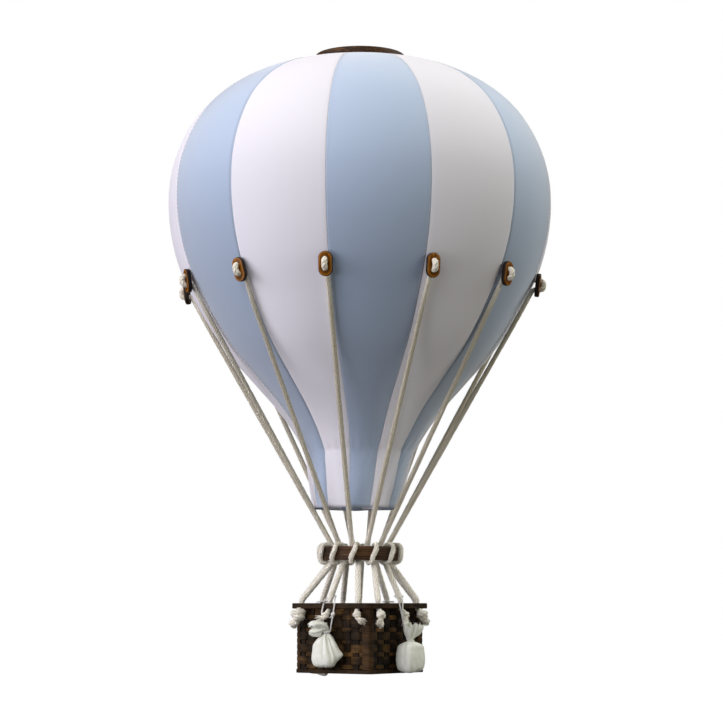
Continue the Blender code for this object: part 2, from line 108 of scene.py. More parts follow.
# A stitch, end to end: share of its length, lift and distance from the seam in millimetres,
# and share of its thickness
STITCH_FORM = (
    (0.0, -0.25, 1.05, 0.7), (0.25, 0.12, 1.05, 1.0), (0.75, 0.12, 1.55, 1.0),
    (1.0, -0.25, 1.55, 0.7),
)

# Heights between which the cloth's painted shading and the ropes' painted shade change
CLOTH_BOTTOM = -0.365
HOOP_BELOW = -0.405
TOGGLES_BELOW = -0.19

# Toggles. The profiles' columns are a loop's radius and height in millimetres, and how far
# it is scorched: the plate's outline from its back face over its edge to its grooved front,
# and the wall of a hole. Three are twisted on their faces, by so many degrees
TOGGLE_LENGTH = 18.5 * MM
TOGGLE_WIDTH = 10.4 * MM
TOGGLE_THICKNESS = 3.5 * MM
TOGGLE_PITCH = 7.2 * MM
TOGGLE_TILT = radians(20)
TOGGLE_TWISTS = {0: 12.0, 11: 8.0, 4: -4.0}
TOGGLE_DEPTH = 184.8 * MM
TOGGLE_SEGMENTS = 32
TOGGLE_PROFILE = (
    (4.5, 0.0, 0.8), (4.95, 0.15, 1.0), (5.2, 0.6, 1.0), (5.2, 2.8, 1.0), (5.08, 3.2, 0.85),
    (4.75, 3.45, 0.45), (4.4, 3.5, 0.05), (3.85, 3.5, 0.05), (3.7, 3.42, 0.55),
    (3.55, 3.2, 0.9), (3.4, 3.42, 0.5), (3.25, 3.5, 0.0),
)
TOGGLE_HOLE_PROFILE = (
    (2.55, 0.0, 0.8), (2.3, 0.3, 1.0), (2.2, 1.0, 1.0), (2.2, 2.6, 1.0), (2.3, 3.2, 0.8),
    (2.5, 3.5, 0.35),
)

# Ropes: three strands. A strand's share of the rope's radius, and the length of one turn of
# the lay for each of its radii
ROPE_RADIUS = 2.45 * MM
TAUT_ROPE_RADIUS = 1.95 * MM
ROPE_STRANDS = 3
STRAND_SHARE = 0.66
LAY_RATIO = 3.3
ROPE_STEP = 0.7 * MM
ROUTE_GRAIN = 0.5 * MM
ROUNDING_PASSES = 8
STITCH_RADIUS = 1.95 * MM
STITCH_FACE_RADIUS = 2.4 * MM
STITCH_BEND = 2.4 * MM
STITCH_BEHIND = 1.2 * MM
STITCH_LIFT = 0.3 * MM
ROPE_REST_DEPTH = 210.0 * MM
FOOT_RADIUS = 1.95 * MM

# Load hoop. Its section's columns are millimetres out from its inner wall and down from its
# top
HOOP_OUTER = 30.0 * MM
HOOP_INNER = 25.0 * MM
HOOP_TOP = 389.0 * MM
HOOP_HEIGHT = 10.6 * MM
HOOP_SECTION = (
    (0.0, 1.0), (0.3, 0.3), (1.0, 0.0), (4.0, 0.0), (4.7, 0.3), (5.0, 1.0), (5.0, 3.2),
    (4.75, 3.5), (5.0, 3.8), (5.0, 9.6), (4.7, 10.3), (4.0, 10.6), (1.0, 10.6), (0.3, 10.3),
    (0.0, 9.6),
)

# A rope's turn round the hoop: half the degrees that it takes up, and the rope's radius
# beside the hoop's walls and pressed flat over its edges
WRAP_HALF_ANGLE = 6.8
WRAP_SIDE_RADIUS = 2.15 * MM
WRAP_EDGE_RADIUS = 1.65 * MM
WRAP_GAP = 0.1 * MM

# Knots: the knotted rope's radius, the radius and rise of its turns, how far above and below
# its middle the rope goes in and comes out, and where the knot sits
KNOT_ROPE = 1.9 * MM
KNOT_TURN_RADIUS = 2.1 * MM
KNOT_RISE = 3.4 * MM
KNOT_TURNS = 1.6
KNOT_STEPS = 20
KNOT_ABOVE = 1.9 * MM
KNOT_BELOW = 2.6 * MM
KNOT_OUT = 5.0 * MM
KNOT_DROP = 4.4 * MM
TAIL_START = 1.5 * MM
CUT_TAIL = 6.2 * MM

# A tail's end: its loose yarns' length, spread and count. They start inside it, in a bundle,
# and curl
FRAYS = {"frayed": (7.0 * MM, 0.3, 60), "cut": (1.4 * MM, 0.25, 40)}
YARN_RADIUS = 0.34 * MM
YARN_INSIDE = 1.2 * MM
YARN_BUNDLE = 1.1 * MM
YARN_CURL = 0.9 * MM
YARN_STEPS = 6

# Basket: rim, weave of stakes and bands, corner posts, and the band at its foot
BASKET_HALF = 35.5 * MM
RIM_TOP = 432.5 * MM
RIM_HEIGHT = 4.2 * MM
RIM_OUTER_HALF = 39.3 * MM
RIM_INNER_HALF = 31.0 * MM
RIM_CORNER = 6.5 * MM
RIM_INNER_CORNER = 1.2 * MM
RIM_EDGE = 0.9 * MM
BASKET_BOTTOM = 485.8 * MM
ROPE_HOLE_LINE = 36.3 * MM
ROPE_HOLE = 2.3 * MM
WALL_MIDDLE = 1.5 * MM
STAKES_PER_SIDE = 8
STAKE_TOP = RIM_TOP + RIM_HEIGHT - 0.5 * MM
STAKE_BOTTOM = BASKET_BOTTOM - 1.0 * MM
STAKE_PITCH = 8.45 * MM
STAKE_WIDTH = 5.4 * MM
BAND_PERIOD = 9.3 * MM
WIDE_BAND = 6.0 * MM
NARROW_BAND = 3.1 * MM
FIRST_WIDE_BAND = 438.8 * MM
BAND_ROWS = 5
BAND_LENGTH = 2.0 * (BASKET_HALF - 2.4 * MM)
STRIP_THICKNESS = 0.8 * MM
STRIP_EDGE = 0.18 * MM
STRIP_CROWN = 0.12 * MM
WEAVE_AMPLITUDE = 0.85 * MM
WEAVE_SHARPNESS = 4.0
POST_WIDE = 7.0 * MM
POST_NARROW = 3.7 * MM
POST_ROUND = 2.6 * MM
POST_WRAP = 4.6 * MM
POST_RIDGE = 0.3 * MM
POST_THICKNESS = 1.3 * MM
POST_TONE = 0.3
FOOT_BAND = 3.0 * MM
FOOT_BAND_THICKNESS = 2.2 * MM
FOOT_BAND_CORNER = 1.4 * MM
FOOT_BAND_EDGE = 0.4 * MM

# Sides of the basket: name, facing azimuth, and where its three ropes pass the rim, in
# millimetres along the side from its middle
BASKET_SIDES = (
    ("front", 0.0, (-28.8, -2.0, 24.5)),
    ("right", 90.0, (-26.5, 3.0, 25.0)),
    ("back", 180.0, (-27.0, 0.0, 27.0)),
    ("left", 270.0, (-27.0, 0.0, 27.0)),
)

# Ropes in the order of their seams: toggle's offset from its seam in degrees, side of the
# basket, which of that side's holes, knot's size, tail's end, and the tail's lean sideways
# and outwards
ROPES = (
    (0.0, 0, 1, 0.85, "frayed", -4.5, 0.3), (-0.8, 0, 2, 0.92, "frayed", 1.8, 0.3),
    (2.0, 1, 0, 1.0, "frayed", -0.85, 0.3), (1.6, 1, 1, 0.8, "frayed", -0.3, 0.2),
    (1.0, 1, 2, 1.25, "cut", 1.6, 0.5), (0.0, 2, 0, 1.0, "frayed", -0.5, 0.3),
    (0.0, 2, 1, 0.85, "frayed", 0.4, 0.3), (0.0, 2, 2, 1.0, "frayed", 0.2, 0.3),
    (0.0, 3, 0, 1.0, "frayed", -0.2, 0.3), (0.0, 3, 1, 0.85, "frayed", 0.5, 0.3),
    (-0.5, 3, 2, 0.95, "frayed", 0.1, 0.3), (-1.0, 0, 0, 1.6, "cut", -0.8, 0.6),
)

# How far two of the knots hang along the wall from their rope's hole, in millimetres
KNOT_SHIFTS = {1: 2.5, 2: -3.5}

# How much darker each side of the basket is painted, as shares of a strip's tone: painted shade
# on the right side, which the lights reach least
WALL_PAINTED_SHADES = (0.0, -0.4, 0.0, 0.0)

# Sandbags: neck and bottom below the rim's top, half width and half depth in millimetres,
# form, and in degrees in the bag's own frame, where its gathered top leans and how far, then
# how far its cord's ends on the rim and the bag sit along the wall from the joint's middle
SANDBAGS = (
    ("front", 22.0, 48.3, 12.0, 7.8, "drop", -144.0, 95.0, 2.4, 2.4),
    ("right", 28.5, 52.8, 12.3, 9.4, "block", -54.0, 9.0, -5.0, 0.0),
    ("back", 24.0, 50.5, 12.4, 9.4, "block", -110.0, 40.0, 0.0, 0.0),
    ("left", 31.0, 58.5, 12.4, 8.0, "sack", -60.0, 75.0, -2.0, -3.0),
)
BAG_NECK_RADIUS = 1.7 * MM
BAG_CORD_RADIUS = 0.7 * MM
BAG_CORD_SPREADS = (5.2 * MM, 2.2 * MM, 3.6 * MM, 3.6 * MM)

# Small knots in each bag's cord: strand, how far down it, and size
CORD_KNOTS = (
    ((1.0, 0.42, 0.5), (-1.0, 0.84, 0.62)), ((1.0, 0.9, 0.5),), ((1.0, 0.5, 0.5),),
    ((-1.0, 0.4, 0.5),),
)
CORD_STEP = 0.5 * MM
CORD_STRAND_SHARE = 0.6
CORD_KNOT_STEP = 0.35 * MM
CORD_TAIL = 2.6 * MM
CORD_MEETS = 2.5 * MM
HITCH_STARTS = (4.6 * MM, 4.6 * MM, 1.0 * MM, 1.0 * MM)
HITCH_RISE = 0.22
HITCH_TURNS = (180.0, 300.0, 180.0, 180.0)

# The bags' cords pass the rope's knot this far down, at least this far from its middle
KNOT_DEPTH = 9.0 * MM
KNOT_CLEARANCE = 4.4 * MM

# Forms of a sandbag. Body: its outline, bottom to neck, in shares of its half width and
# height. Ruffle: radius and rise above the neck in millimetres. Corners: azimuth in degrees,
# height, how far out, spread round in radians and spread of height. Creases: azimuth at the
# neck and at the bottom, and depth in millimetres. Then how four-sided it is, how its ruffle
# waves out and its cut edge up and down, its loose threads' length in millimetres, and the
# azimuth and depth of a corner that sags
BAG_FORMS = {
    "drop": {
        "body": ((0.0, 0.0), (0.5, 0.0), (0.84, 0.04), (0.97, 0.16), (1.0, 0.3), (0.92, 0.48),
                 (0.72, 0.68), (0.46, 0.84), (0.24, 0.95), (0.14, 1.0)),
        "ruffle": ((2.2, 1.4), (3.7, 3.6), (5.2, 6.8), (5.8, 9.8), (5.3, 12.2), (4.1, 13.6)),
        "corners": ((14.0, 0.36, 0.24, 0.2, 0.12), (14.0, 0.0, -0.4, 0.6, 0.2),
                    (-148.0, 0.72, 0.3, 0.7, 0.2), (-148.0, 0.2, 0.07, 0.7, 0.3)),
        "creases": ((-52.0, -22.0, 2.4), (-30.0, -2.0, 2.0), (-84.0, -66.0, 1.0),
                    (150.0, 120.0, 1.2)),
        "square": 0.0, "wave": 0.2, "edge": 0.12, "fringe": 0.8, "dip": (0.0, 0.0),
    },
    "block": {
        "body": ((0.0, 0.05), (0.55, 0.05), (0.82, 0.08), (0.93, 0.17), (1.0, 0.35), (1.0, 0.52),
                 (0.95, 0.68), (0.82, 0.82), (0.52, 0.92), (0.26, 0.97), (0.14, 1.0)),
        "ruffle": ((2.1, 1.0), (3.4, 2.8), (4.9, 5.2), (5.9, 8.2), (6.3, 11.6)),
        "corners": ((-146.0, 0.45, 0.07, 0.14, 0.6), (-54.0, 0.9, 0.08, 0.4, 0.15)),
        "creases": ((-118.0, -126.0, 0.9), (-176.0, -166.0, 1.1), (-75.0, -90.0, 0.7)),
        "square": 0.085, "wave": 0.22, "edge": 0.18, "fringe": 1.3, "dip": (-146.0, 1.2),
    },
    "sack": {
        "body": ((0.0, 0.14), (0.5, 0.14), (0.8, 0.18), (0.95, 0.3), (1.0, 0.45), (0.93, 0.6),
                 (0.72, 0.75), (0.46, 0.88), (0.24, 0.96), (0.14, 1.0)),
        "ruffle": ((2.2, 1.4), (4.2, 4.0), (6.2, 7.5), (6.6, 10.5), (5.4, 13.0)),
        "corners": ((126.0, 0.2, 0.1, 0.4, 0.2), (-50.0, 0.3, 0.08, 0.5, 0.3)),
        "creases": ((-50.0, -60.0, 1.2), (-120.0, -110.0, 1.0), (110.0, 124.0, 1.2)),
        "square": 0.02, "wave": 0.2, "edge": 0.12, "fringe": 0.9, "dip": (126.0, 3.8),
    },
}
BAG_CLOTH = 0.35 * MM
BAG_SECTORS = 72
BAG_STATION = 1.0 * MM
BAG_PLEATS = (3, 5, 8)
NECK_GATHERS = 13
NECK_GATHER = 0.22 * MM
CREASE_WIDTH = 0.13
DIP_WIDTH = 0.7
DIP_RADIUS = 7.0 * MM
BAG_CORNER = radians(34.0)
RUFFLE_BEND = 5.5 * MM
RUFFLE_FLARE = 8.0 * MM
FRINGE_RADIUS = 0.14 * MM
FRINGE_INSIDE = 0.3 * MM

# Filling: the bag is blown up at a larger scale, and no point moves further than the cap
BAG_SCALE = 20.0
BAG_FRAMES = 20
BAG_PRESSURE = 4.0
BAG_CAP = 1.1 * MM
BAG_STIFFNESS = 0.3
HELD_ABOVE = 0.95

# Studio: the floor, and lights as name, azimuth, elevation, distance, size in metres, watts
# and colour, then for a gridded light its beam in degrees and the height that it aims at
FLOOR_RADIUS = 2.6
LIT_HEIGHT = -0.24
AMBIENT_LIGHT = 0.12
LIGHTS = (
    ("overhead", 36.0, 75.0, 1.6, 1.4, 14.5, "#fffaf4"),
    ("key", 8.0, 33.0, 1.9, 1.1, 11.0, "#f6f8ff"),
    ("left_fill", -40.0, 9.0, 1.9, 1.2, 17.0, "#fcf6ff"),
    ("low_left", -14.0, -8.0, 1.9, 1.0, 8.0, "#f6f2ff"),
    ("right_fill", 100.0, 10.0, 1.9, 1.2, 7.5, "#fffbe8"),
    ("right_edge", 146.0, 32.0, 1.9, 1.0, 13.0, "#f4fbff"),
    ("skirt_fill", 28.0, -6.0, 1.1, 0.12, 0.009, "#fcf8ff", 12.0, -0.345),
)


# A colour given in sRGB hex, made linear
def linear(hex_colour):
    channels = [int(hex_colour[i:i + 2], 16) / 255.0 for i in (1, 3, 5)]
    lin = [c / 12.92 if c <= 0.04045 else ((c + 0.055) / 1.055) ** 2.4 for c in channels]
    return (*lin, 1.0)


# Adds a node: its properties by name, a colour ramp's stops as (position, colour), and its
# inputs as values or as the sockets to link. Gives one of its outputs, by number or name
def node(tree, kind, inputs=None, stops=(), output=0, **properties):
    made = tree.nodes.new("ShaderNode" + kind)
    for key, value in properties.items():
        setattr(made, key, value)
    for key, value in (inputs or {}).items():
        if isinstance(value, bpy.types.NodeSocket):
            tree.links.new(value, made.inputs[key])
        else:
            made.inputs[key].default_value = value
    for index, (position, hex_colour) in enumerate(stops):
        if index > 1:
            made.color_ramp.elements.new(position)
        made.color_ramp.elements[index].position = position
        made.color_ramp.elements[index].color = linear(hex_colour)
    return made.outputs[output] if made.outputs else made


def new_material(name, settings):
    material = bpy.data.materials.new(name)
    material.use_nodes = True
    for key, value in settings.items():
        material.node_tree.nodes["Principled BSDF"].inputs[key].default_value = value
    return material, material.node_tree


# Gives a material its colour, and a relief that follows a height, so deep at most
def dress(material, colour, height, depth):
    tree = material.node_tree
    shader = tree.nodes["Principled BSDF"]
    bump = node(tree, "Bump", {"Height": height, "Distance": depth})
    tree.links.new(colour, shader.inputs["Base Color"])
    tree.links.new(bump, shader.inputs["Normal"])
    return material


# A pattern's coordinates, scaled along each axis to so many repeats a metre
def scaled(tree, source, x, y, z=1.0):
    coords = node(tree, "TexCoord", output=source)
    return node(tree, "Mapping", {"Vector": coords, "Scale": (x, y, z)})


# How high a place is, as a share of the way between two heights
def share_of_height(tree, low, high):
    place = node(tree, "SeparateXYZ", {"Vector": scaled(tree, "Object", 1.0, 1.0)})
    return node(tree, "MapRange", {
        "Value": place.node.outputs["Z"], "From Min": low, "From Max": high})


# Height of threads twisted round a cord: so many side by side, each round it once in a lay
def twisted(tree, threads, lay):
    around = node(tree, "SeparateXYZ", {
        "Vector": scaled(tree, "UV", 2.0 * pi * threads, 2.0 * pi / lay)})
    slant = node(tree, "Math", {0: around, 1: around.node.outputs["Y"]})
    return node(tree, "Math", {0: slant}, operation="SINE")


# Height of a plain weave, over and under, from the piece's own map in metres
def plain_weave(tree, thread_spacing):
    turns = pi / thread_spacing
    across = node(tree, "SeparateXYZ", {"Vector": scaled(tree, "UV", turns, turns)})
    along = across.node.outputs["Y"]
    over = node(tree, "Math", {0: across}, operation="SINE")
    under = node(tree, "Math", {0: along}, operation="SINE")
    return node(tree, "Math", {0: over, 1: under}, operation="MULTIPLY")


# Dyed cotton, plain woven and pulled taut: matt, soft at grazing angles, with the faintest slubs
# running both ways. The real thread spacing is about 0.35 mm, drawn coarser to show. The painted
# shading multiplies the colour by height, from the mouth up to the crown: painted highlight where
# more light falls and painted shade where less falls
def dyed_cotton(name, colour, slub_colour, sheen, painted_shading):
    material, tree = new_material(name, {
        "Roughness": 0.9, "Sheen Weight": sheen, "Sheen Roughness": 0.5,
        "Specular IOR Level": 0.15})
    weave = plain_weave(tree, 0.55 * MM)
    warp = node(tree, "TexNoise", {
        "Vector": scaled(tree, "UV", 800.0, 45.0), "Scale": 1.0, "Detail": 2.0})
    weft = node(tree, "TexNoise", {
        "Vector": scaled(tree, "UV", 45.0, 800.0), "Scale": 1.0, "Detail": 2.0})
    slubs = node(tree, "Math", {0: warp, 1: weft}, operation="ADD")
    uneven = node(tree, "TexNoise", {
        "Vector": scaled(tree, "Object", 20.0, 20.0, 20.0), "Scale": 1.0, "Detail": 3.0})
    shade = node(tree, "Math", {0: uneven, 1: 0.6, 2: slubs}, operation="MULTIPLY_ADD")
    tone = node(tree, "ValToRGB", {"Fac": shade},
                stops=((0.85, slub_colour), (1.0, colour)))
    # Painted highlight and painted shade: the colour multiplied by a ramp over the height
    painted_shading_tone = node(tree, "ValToRGB", {"Fac": share_of_height(tree, CLOTH_BOTTOM, 0.0)}, stops=painted_shading)
    tone = node(tree, "Mix", {"Factor": 1.0, "A": tone, "B": painted_shading_tone},
                output="Result", data_type="RGBA", blend_type="MULTIPLY")
    height = node(tree, "Math", {0: weave, 1: 0.4, 2: slubs}, operation="MULTIPLY_ADD")
    return dress(material, tone, height, 0.02 * MM)


# Undyed cotton yarns twisted into strands: fine slanting yarns with random fibre tone, paler on
# their crowns with painted shade in the hollows between them, and painted shade where the rope
# runs under the envelope between the toggles and the hoop. Colours as (hollow, crown) pairs
def undyed_cotton_rope(name, unshaded_colours, painted_shade_colours, yarns, lay):
    material, tree = new_material(name, {
        "Roughness": 0.95, "Sheen Weight": 0.15, "Sheen Roughness": 0.6,
        "Specular IOR Level": 0.15})
    yarn = twisted(tree, yarns, lay)
    fibre = node(tree, "TexNoise", {
        "Vector": scaled(tree, "UV", 18.0, 500.0), "Scale": 1.0, "Detail": 3.0})
    mixed = node(tree, "Math", {0: yarn, 1: 0.2, 2: fibre}, operation="MULTIPLY_ADD")
    tones = [node(tree, "ValToRGB", {"Fac": mixed},
                  stops=((0.25, hollow), (0.55, crown))) for hollow, crown in (unshaded_colours, painted_shade_colours)]
    # Painted shade on the run under the envelope: darker colours between the hoop and the
    # toggles, fading back near each
    high = share_of_height(tree, HOOP_BELOW, TOGGLES_BELOW)
    painted_shade_share = node(tree, "ValToRGB", {"Fac": high}, stops=(
        (0.0, "#000000"), (0.2, "#ffffff"), (0.85, "#ffffff"), (1.0, "#303030")))
    tone = node(tree, "Mix", {"Factor": painted_shade_share, "A": tones[0], "B": tones[1]},
                output="Result", data_type="RGBA")
    return dress(material, tone, mixed, 0.08 * MM)


# Calico, unbleached: a close weave with the faintest flecks and a soft dull surface. Its
# threads, 0.3 mm apart, are drawn coarser to show
def undyed_calico():
    material, tree = new_material("undyed_calico", {
        "Roughness": 0.92, "Sheen Weight": 0.1, "Sheen Roughness": 0.5,
        "Specular IOR Level": 0.2})
    weave = plain_weave(tree, 0.5 * MM)
    slub = node(tree, "TexNoise", {
        "Vector": scaled(tree, "UV", 260.0, 200.0), "Scale": 1.0, "Detail": 3.0})
    tone = node(tree, "ValToRGB", {"Fac": slub},
                stops=((0.3, "#e9ead9"), (0.55, "#f4f5e9")))
    height = node(tree, "Math", {0: weave, 1: 0.5, 2: slub}, operation="MULTIPLY_ADD")
    return dress(material, tone, height, 0.015 * MM)


# Dark stained birch, cut and turned: long open grain in brown over near-black pores. The
# grain's stretch is given in repeats a metre along each axis
def stained_birch(name, source, stretch):
    material, tree = new_material(name, {"Roughness": 0.55, "Specular IOR Level": 0.2})
    grain = node(tree, "TexNoise", {
        "Vector": scaled(tree, source, *stretch), "Scale": 1.0, "Detail": 5.0,
        "Roughness": 0.65})
    broad = node(tree, "TexNoise", {
        "Vector": scaled(tree, "Object", 28.0, 28.0, 28.0), "Scale": 1.0, "Detail": 1.0})
    mixed = node(tree, "Mix", {"Factor": 0.25, "A": grain, "B": broad})
    tone = node(tree, "ValToRGB", {"Fac": mixed}, stops=(
        (0.36, "#1b1209"), (0.5, "#3a2613"), (0.56, "#573b20"), (0.66, "#7b5c3a")))
    return dress(material, tone, grain, 0.25 * MM)


# Varnished beech, its sides scorched nearly black: amber face with fine darker grain
def varnished_beech():
    material, tree = new_material("varnished_beech", {
        "Roughness": 0.45, "Coat Weight": 0.06, "Coat Roughness": 0.25,
        "Specular IOR Level": 0.2})
    grain = node(tree, "TexNoise", {
        "Vector": scaled(tree, "UV", 1500.0, 110.0), "Scale": 1.0, "Detail": 4.0})
    wood = node(tree, "ValToRGB", {"Fac": grain},
                stops=((0.3, "#7d4705"), (0.55, "#a8680c"), (0.75, "#c6871f")))
    scorch = node(tree, "Attribute", output="Fac", attribute_name="scorch")
    tone = node(tree, "Mix", {"Factor": scorch, "A": wood, "B": linear("#1c0f05")},
                output="Result", data_type="RGBA")
    return dress(material, tone, grain, 0.08 * MM)


# Split rattan peel stained dark: flat strips with streaks along them, some redder or paler where
# the stain took less, and darker where a strip's tone carries painted shade
def stained_rattan(name, stops):
    material, tree = new_material(name, {"Roughness": 0.65, "Specular IOR Level": 0.12})
    streaks = node(tree, "TexNoise", {
        "Vector": scaled(tree, "UV", 60.0, 1600.0), "Scale": 1.0, "Detail": 4.0})
    patches = node(tree, "TexNoise", {
        "Vector": scaled(tree, "Object", 95.0, 95.0, 140.0), "Scale": 1.0, "Detail": 1.5})
    mixed = node(tree, "Mix", {"Factor": 0.53, "A": streaks, "B": patches})
    tone_of_strip = node(tree, "Attribute", output="Fac", attribute_name="strip")
    shade = node(tree, "Math", {0: mixed, 1: 0.85}, operation="MULTIPLY")
    shade = node(tree, "Math", {0: tone_of_strip, 1: 0.3, 2: shade},
                 operation="MULTIPLY_ADD")
    tone = node(tree, "ValToRGB", {"Fac": shade}, stops=stops)
    return dress(material, tone, streaks, 0.15 * MM)


# Blue-grey cord: a tight twist, with painted shade darkening its hollows
def corded_edge():
    material, tree = new_material("corded_edge", {
        "Roughness": 0.85, "Sheen Weight": 0.1, "Specular IOR Level": 0.2})
    twist = twisted(tree, 2.0, 1.6 * MM)
    shade = node(tree, "Math", {0: twist, 1: 0.5, 2: 0.5}, operation="MULTIPLY_ADD")
    tone = node(tree, "ValToRGB", {"Fac": shade},
                stops=((0.0, "#7a8496"), (0.8, "#a4adbb")))
    return dress(material, tone, twist, 0.1 * MM)


# Drawn brass wire, bent by hand: warm metal with fine dull marks
def drawn_brass():
    material, tree = new_material("drawn_brass", {"Metallic": 1.0, "Roughness": 0.3})
    marks = node(tree, "TexNoise", {
        "Vector": scaled(tree, "Object", 1400.0, 1400.0, 1400.0), "Scale": 1.0, "Detail": 2.0})
    tone = node(tree, "ValToRGB", {"Fac": marks},
                stops=((0.35, "#8f7136"), (0.65, "#d3ad62")))
    return dress(material, tone, marks, 0.03 * MM)


# Spun sewing thread, off-white: a fine twist on each stitch, with painted shade darkening its
# grooves
def sewing_thread():
    material, tree = new_material("sewing_thread", {
        "Roughness": 0.7, "Sheen Weight": 0.2, "Specular IOR Level": 0.3})
    twist = node(tree, "TexWave", {
        "Vector": scaled(tree, "Object", 1.0, 1.0, 1.0), "Scale": 900.0, "Distortion": 1.0},
        output="Fac", bands_direction="DIAGONAL")
    tone = node(tree, "ValToRGB", {"Fac": twist},
                stops=((0.2, "#9aa0ab"), (0.8, "#d5d6dc")))
    return dress(material, tone, twist, 0.03 * MM)


# Painted studio floor: pale and matt, with the faintest mottle
def studio_floor_paint():
    material, tree = new_material("studio_floor_paint", {
        "Roughness": 0.9, "Emission Color": linear("#ffffff"), "Emission Strength": 0.85})
    mottle = node(tree, "TexNoise", {
        "Vector": scaled(tree, "Object", 3.0, 3.0, 3.0), "Scale": 1.0, "Detail": 2.0})
    tone = node(tree, "ValToRGB", {"Fac": mottle},
                stops=((0.3, "#f4f4f4"), (0.7, "#fafafa")))
    return dress(material, tone, mottle, 0.2 * MM)


# The way outwards at an azimuth
def radial(azimuth):
    angle = radians(azimuth)
    return Vector((sin(angle), -cos(angle), 0.0))


def polar(radius, azimuth, depth):
    return radial(azimuth) * radius + Vector((0.0, 0.0, DISC_TOP - depth))


# A place on a side of the basket: out from the axis, along the side from its middle, and down
def side_point(side, outward, along, depth):
    facing = BASKET_SIDES[side][1]
    return (radial(facing) * outward + radial(facing + 90.0) * along
            + Vector((0.0, 0.0, DISC_TOP - depth)))


def seam_azimuth(index):
    return FIRST_SEAM + index * 360.0 / GORE_COUNT


def envelope_radius(depth):
    depths = [row[0] * MM for row in ENVELOPE_OUTLINE]
    radii = [row[1] * MM for row in ENVELOPE_OUTLINE]
    return float(np.interp(depth, depths, radii))


def step_lengths(points):
    return np.linalg.norm(np.diff(points, axis=0), axis=1)


def running_total(steps):
    return np.concatenate(([0.0], np.cumsum(steps)))


# Points along a line at even steps of its length. Columns past the place's go with it
def resampled(points, step, place_columns=3):
    points = np.asarray(points, float)
    gone = running_total(step_lengths(points[:, :place_columns]))
    wanted = np.linspace(0.0, gone[-1], max(3, round(gone[-1] / step) + 1))
    return np.stack([np.interp(wanted, gone, column) for column in points.T], axis=1)


# A smooth curve through points, each stretch a cubic that meets its neighbours' slopes
def curve_through(points, step):
    points = np.asarray(points, float)
    lengths = step_lengths(points)
    slopes = np.gradient(points, running_total(lengths), axis=0)
    share = np.linspace(0.0, 1.0, 12, endpoint=False)[:, None]
    rise = share ** 2 * (3.0 - 2.0 * share)
    fine = []
    for i, length in enumerate(lengths):
        fine.append(points[i] * (1.0 - rise) + points[i + 1] * rise
                    + slopes[i] * length * share * (1.0 - share) ** 2
                    - slopes[i + 1] * length * share ** 2 * (1.0 - share))
    return resampled(np.vstack([*fine, points[-1:]]), step, points.shape[1])


# Straight runs whose corners are rounded off, as a pulled rope lies
def pulled_route(points, step):
    path = resampled(points, ROUTE_GRAIN)
    for _ in range(ROUNDING_PASSES):
        path[1:-1] = (path[:-2] + 2.0 * path[1:-1] + path[2:]) / 4.0
    return resampled(path, step)


# Strands laid round a path of positions and radii, rising to the right as rope is laid
def laid_strands(path, count, share):
    places = path[:, :3]
    radii = path[:, 3:4]
    tangents = np.gradient(places, axis=0)
    tangents /= np.linalg.norm(tangents, axis=1, keepdims=True)
    normal = np.cross(tangents[0], (0.31, 0.57, 0.76))
    normals = []
    for tangent in tangents:
        normal = normal - tangent * normal.dot(tangent)
        normal /= np.linalg.norm(normal)
        normals.append(normal)
    normals = np.array(normals)
    binormals = np.cross(tangents, normals)
    turned = running_total(step_lengths(places) / (LAY_RATIO * radii[1:, 0]))
    lines = []
    for strand in range(count):
        angle = 2.0 * pi * (turned + strand / count)[:, None]
        offset = (np.cos(angle) * normals + np.sin(angle) * binormals) * radii * (1.0 - share)
        lines.append(np.hstack((places + offset, radii * share)))
    return lines


# A bag's cord, of two strands pulled through points
def laid_cord(points):
    path = pulled_route([(*point, BAG_CORD_RADIUS) for point in points], CORD_STEP)
    return laid_strands(path, 2, CORD_STRAND_SHARE)


def link_new(name, data):
    made = bpy.data.objects.new(name, data)
    bpy.context.scene.collection.objects.link(made)
    return made


# Round tubes along lines of (x, y, z, radius). The map is once round, and metres along
def tube_mesh(name, lines, sides, closed):
    curve = bpy.data.curves.new(name, "CURVE")
    curve.dimensions = "3D"
    curve.bevel_depth = 1.0
    curve.bevel_resolution = sides // 2 - 2
    curve.use_fill_caps = True
    for line in lines:
        spline = curve.splines.new("POLY")
        spline.use_cyclic_u = closed
        spline.points.add(len(line) - 1)
        for target, (x, y, z, radius) in zip(spline.points, line):
            target.co = (x, y, z, 1.0)
            target.radius = radius
    holder = link_new(name, curve)
    bpy.context.view_layer.update()
    depsgraph = bpy.context.evaluated_depsgraph_get()
    mesh = bpy.data.meshes.new_from_object(holder.evaluated_get(depsgraph),
                                           depsgraph=depsgraph)
    bpy.data.objects.remove(holder)
    bpy.data.curves.remove(curve)
    longest = max(step_lengths(np.asarray(line)[:, :3]).sum() for line in lines)
    uv = np.empty(len(mesh.loops) * 2, np.float32)
    mesh.uv_layers[0].data.foreach_get("uv", uv)
    uv[0::2] *= longest
    uv = uv.reshape(-1, 2)[:, ::-1].ravel()
    mesh.uv_layers[0].data.foreach_set("uv", np.ascontiguousarray(uv))
    mesh.shade_smooth()
    return mesh


# A line of points spun about the axis. A full turn is closed up, and so may the line be. Spin
# orders edges and faces differently each run, which the filling's solver would show, so they
# are put in one order
def spun(points, steps, span=360.0, closed=False):
    bm = bmesh.new()
    full = span == 360.0
    verts = [bm.verts.new(point) for point in points]
    edges = [bm.edges.new(pair) for pair in zip(verts, verts[1:] + verts[:closed])]
    bmesh.ops.spin(bm, geom=verts + edges, cent=(0, 0, 0), axis=(0, 0, 1),
                   angle=radians(span), steps=steps, use_merge=full)
    if full:
        bmesh.ops.remove_doubles(bm, verts=bm.verts, dist=1e-6)
    bm.verts.index_update()
    for parts in (bm.edges, bm.faces):
        parts.sort(key=lambda part: sum(sqrt(vert.index) for vert in part.verts))
    return bm


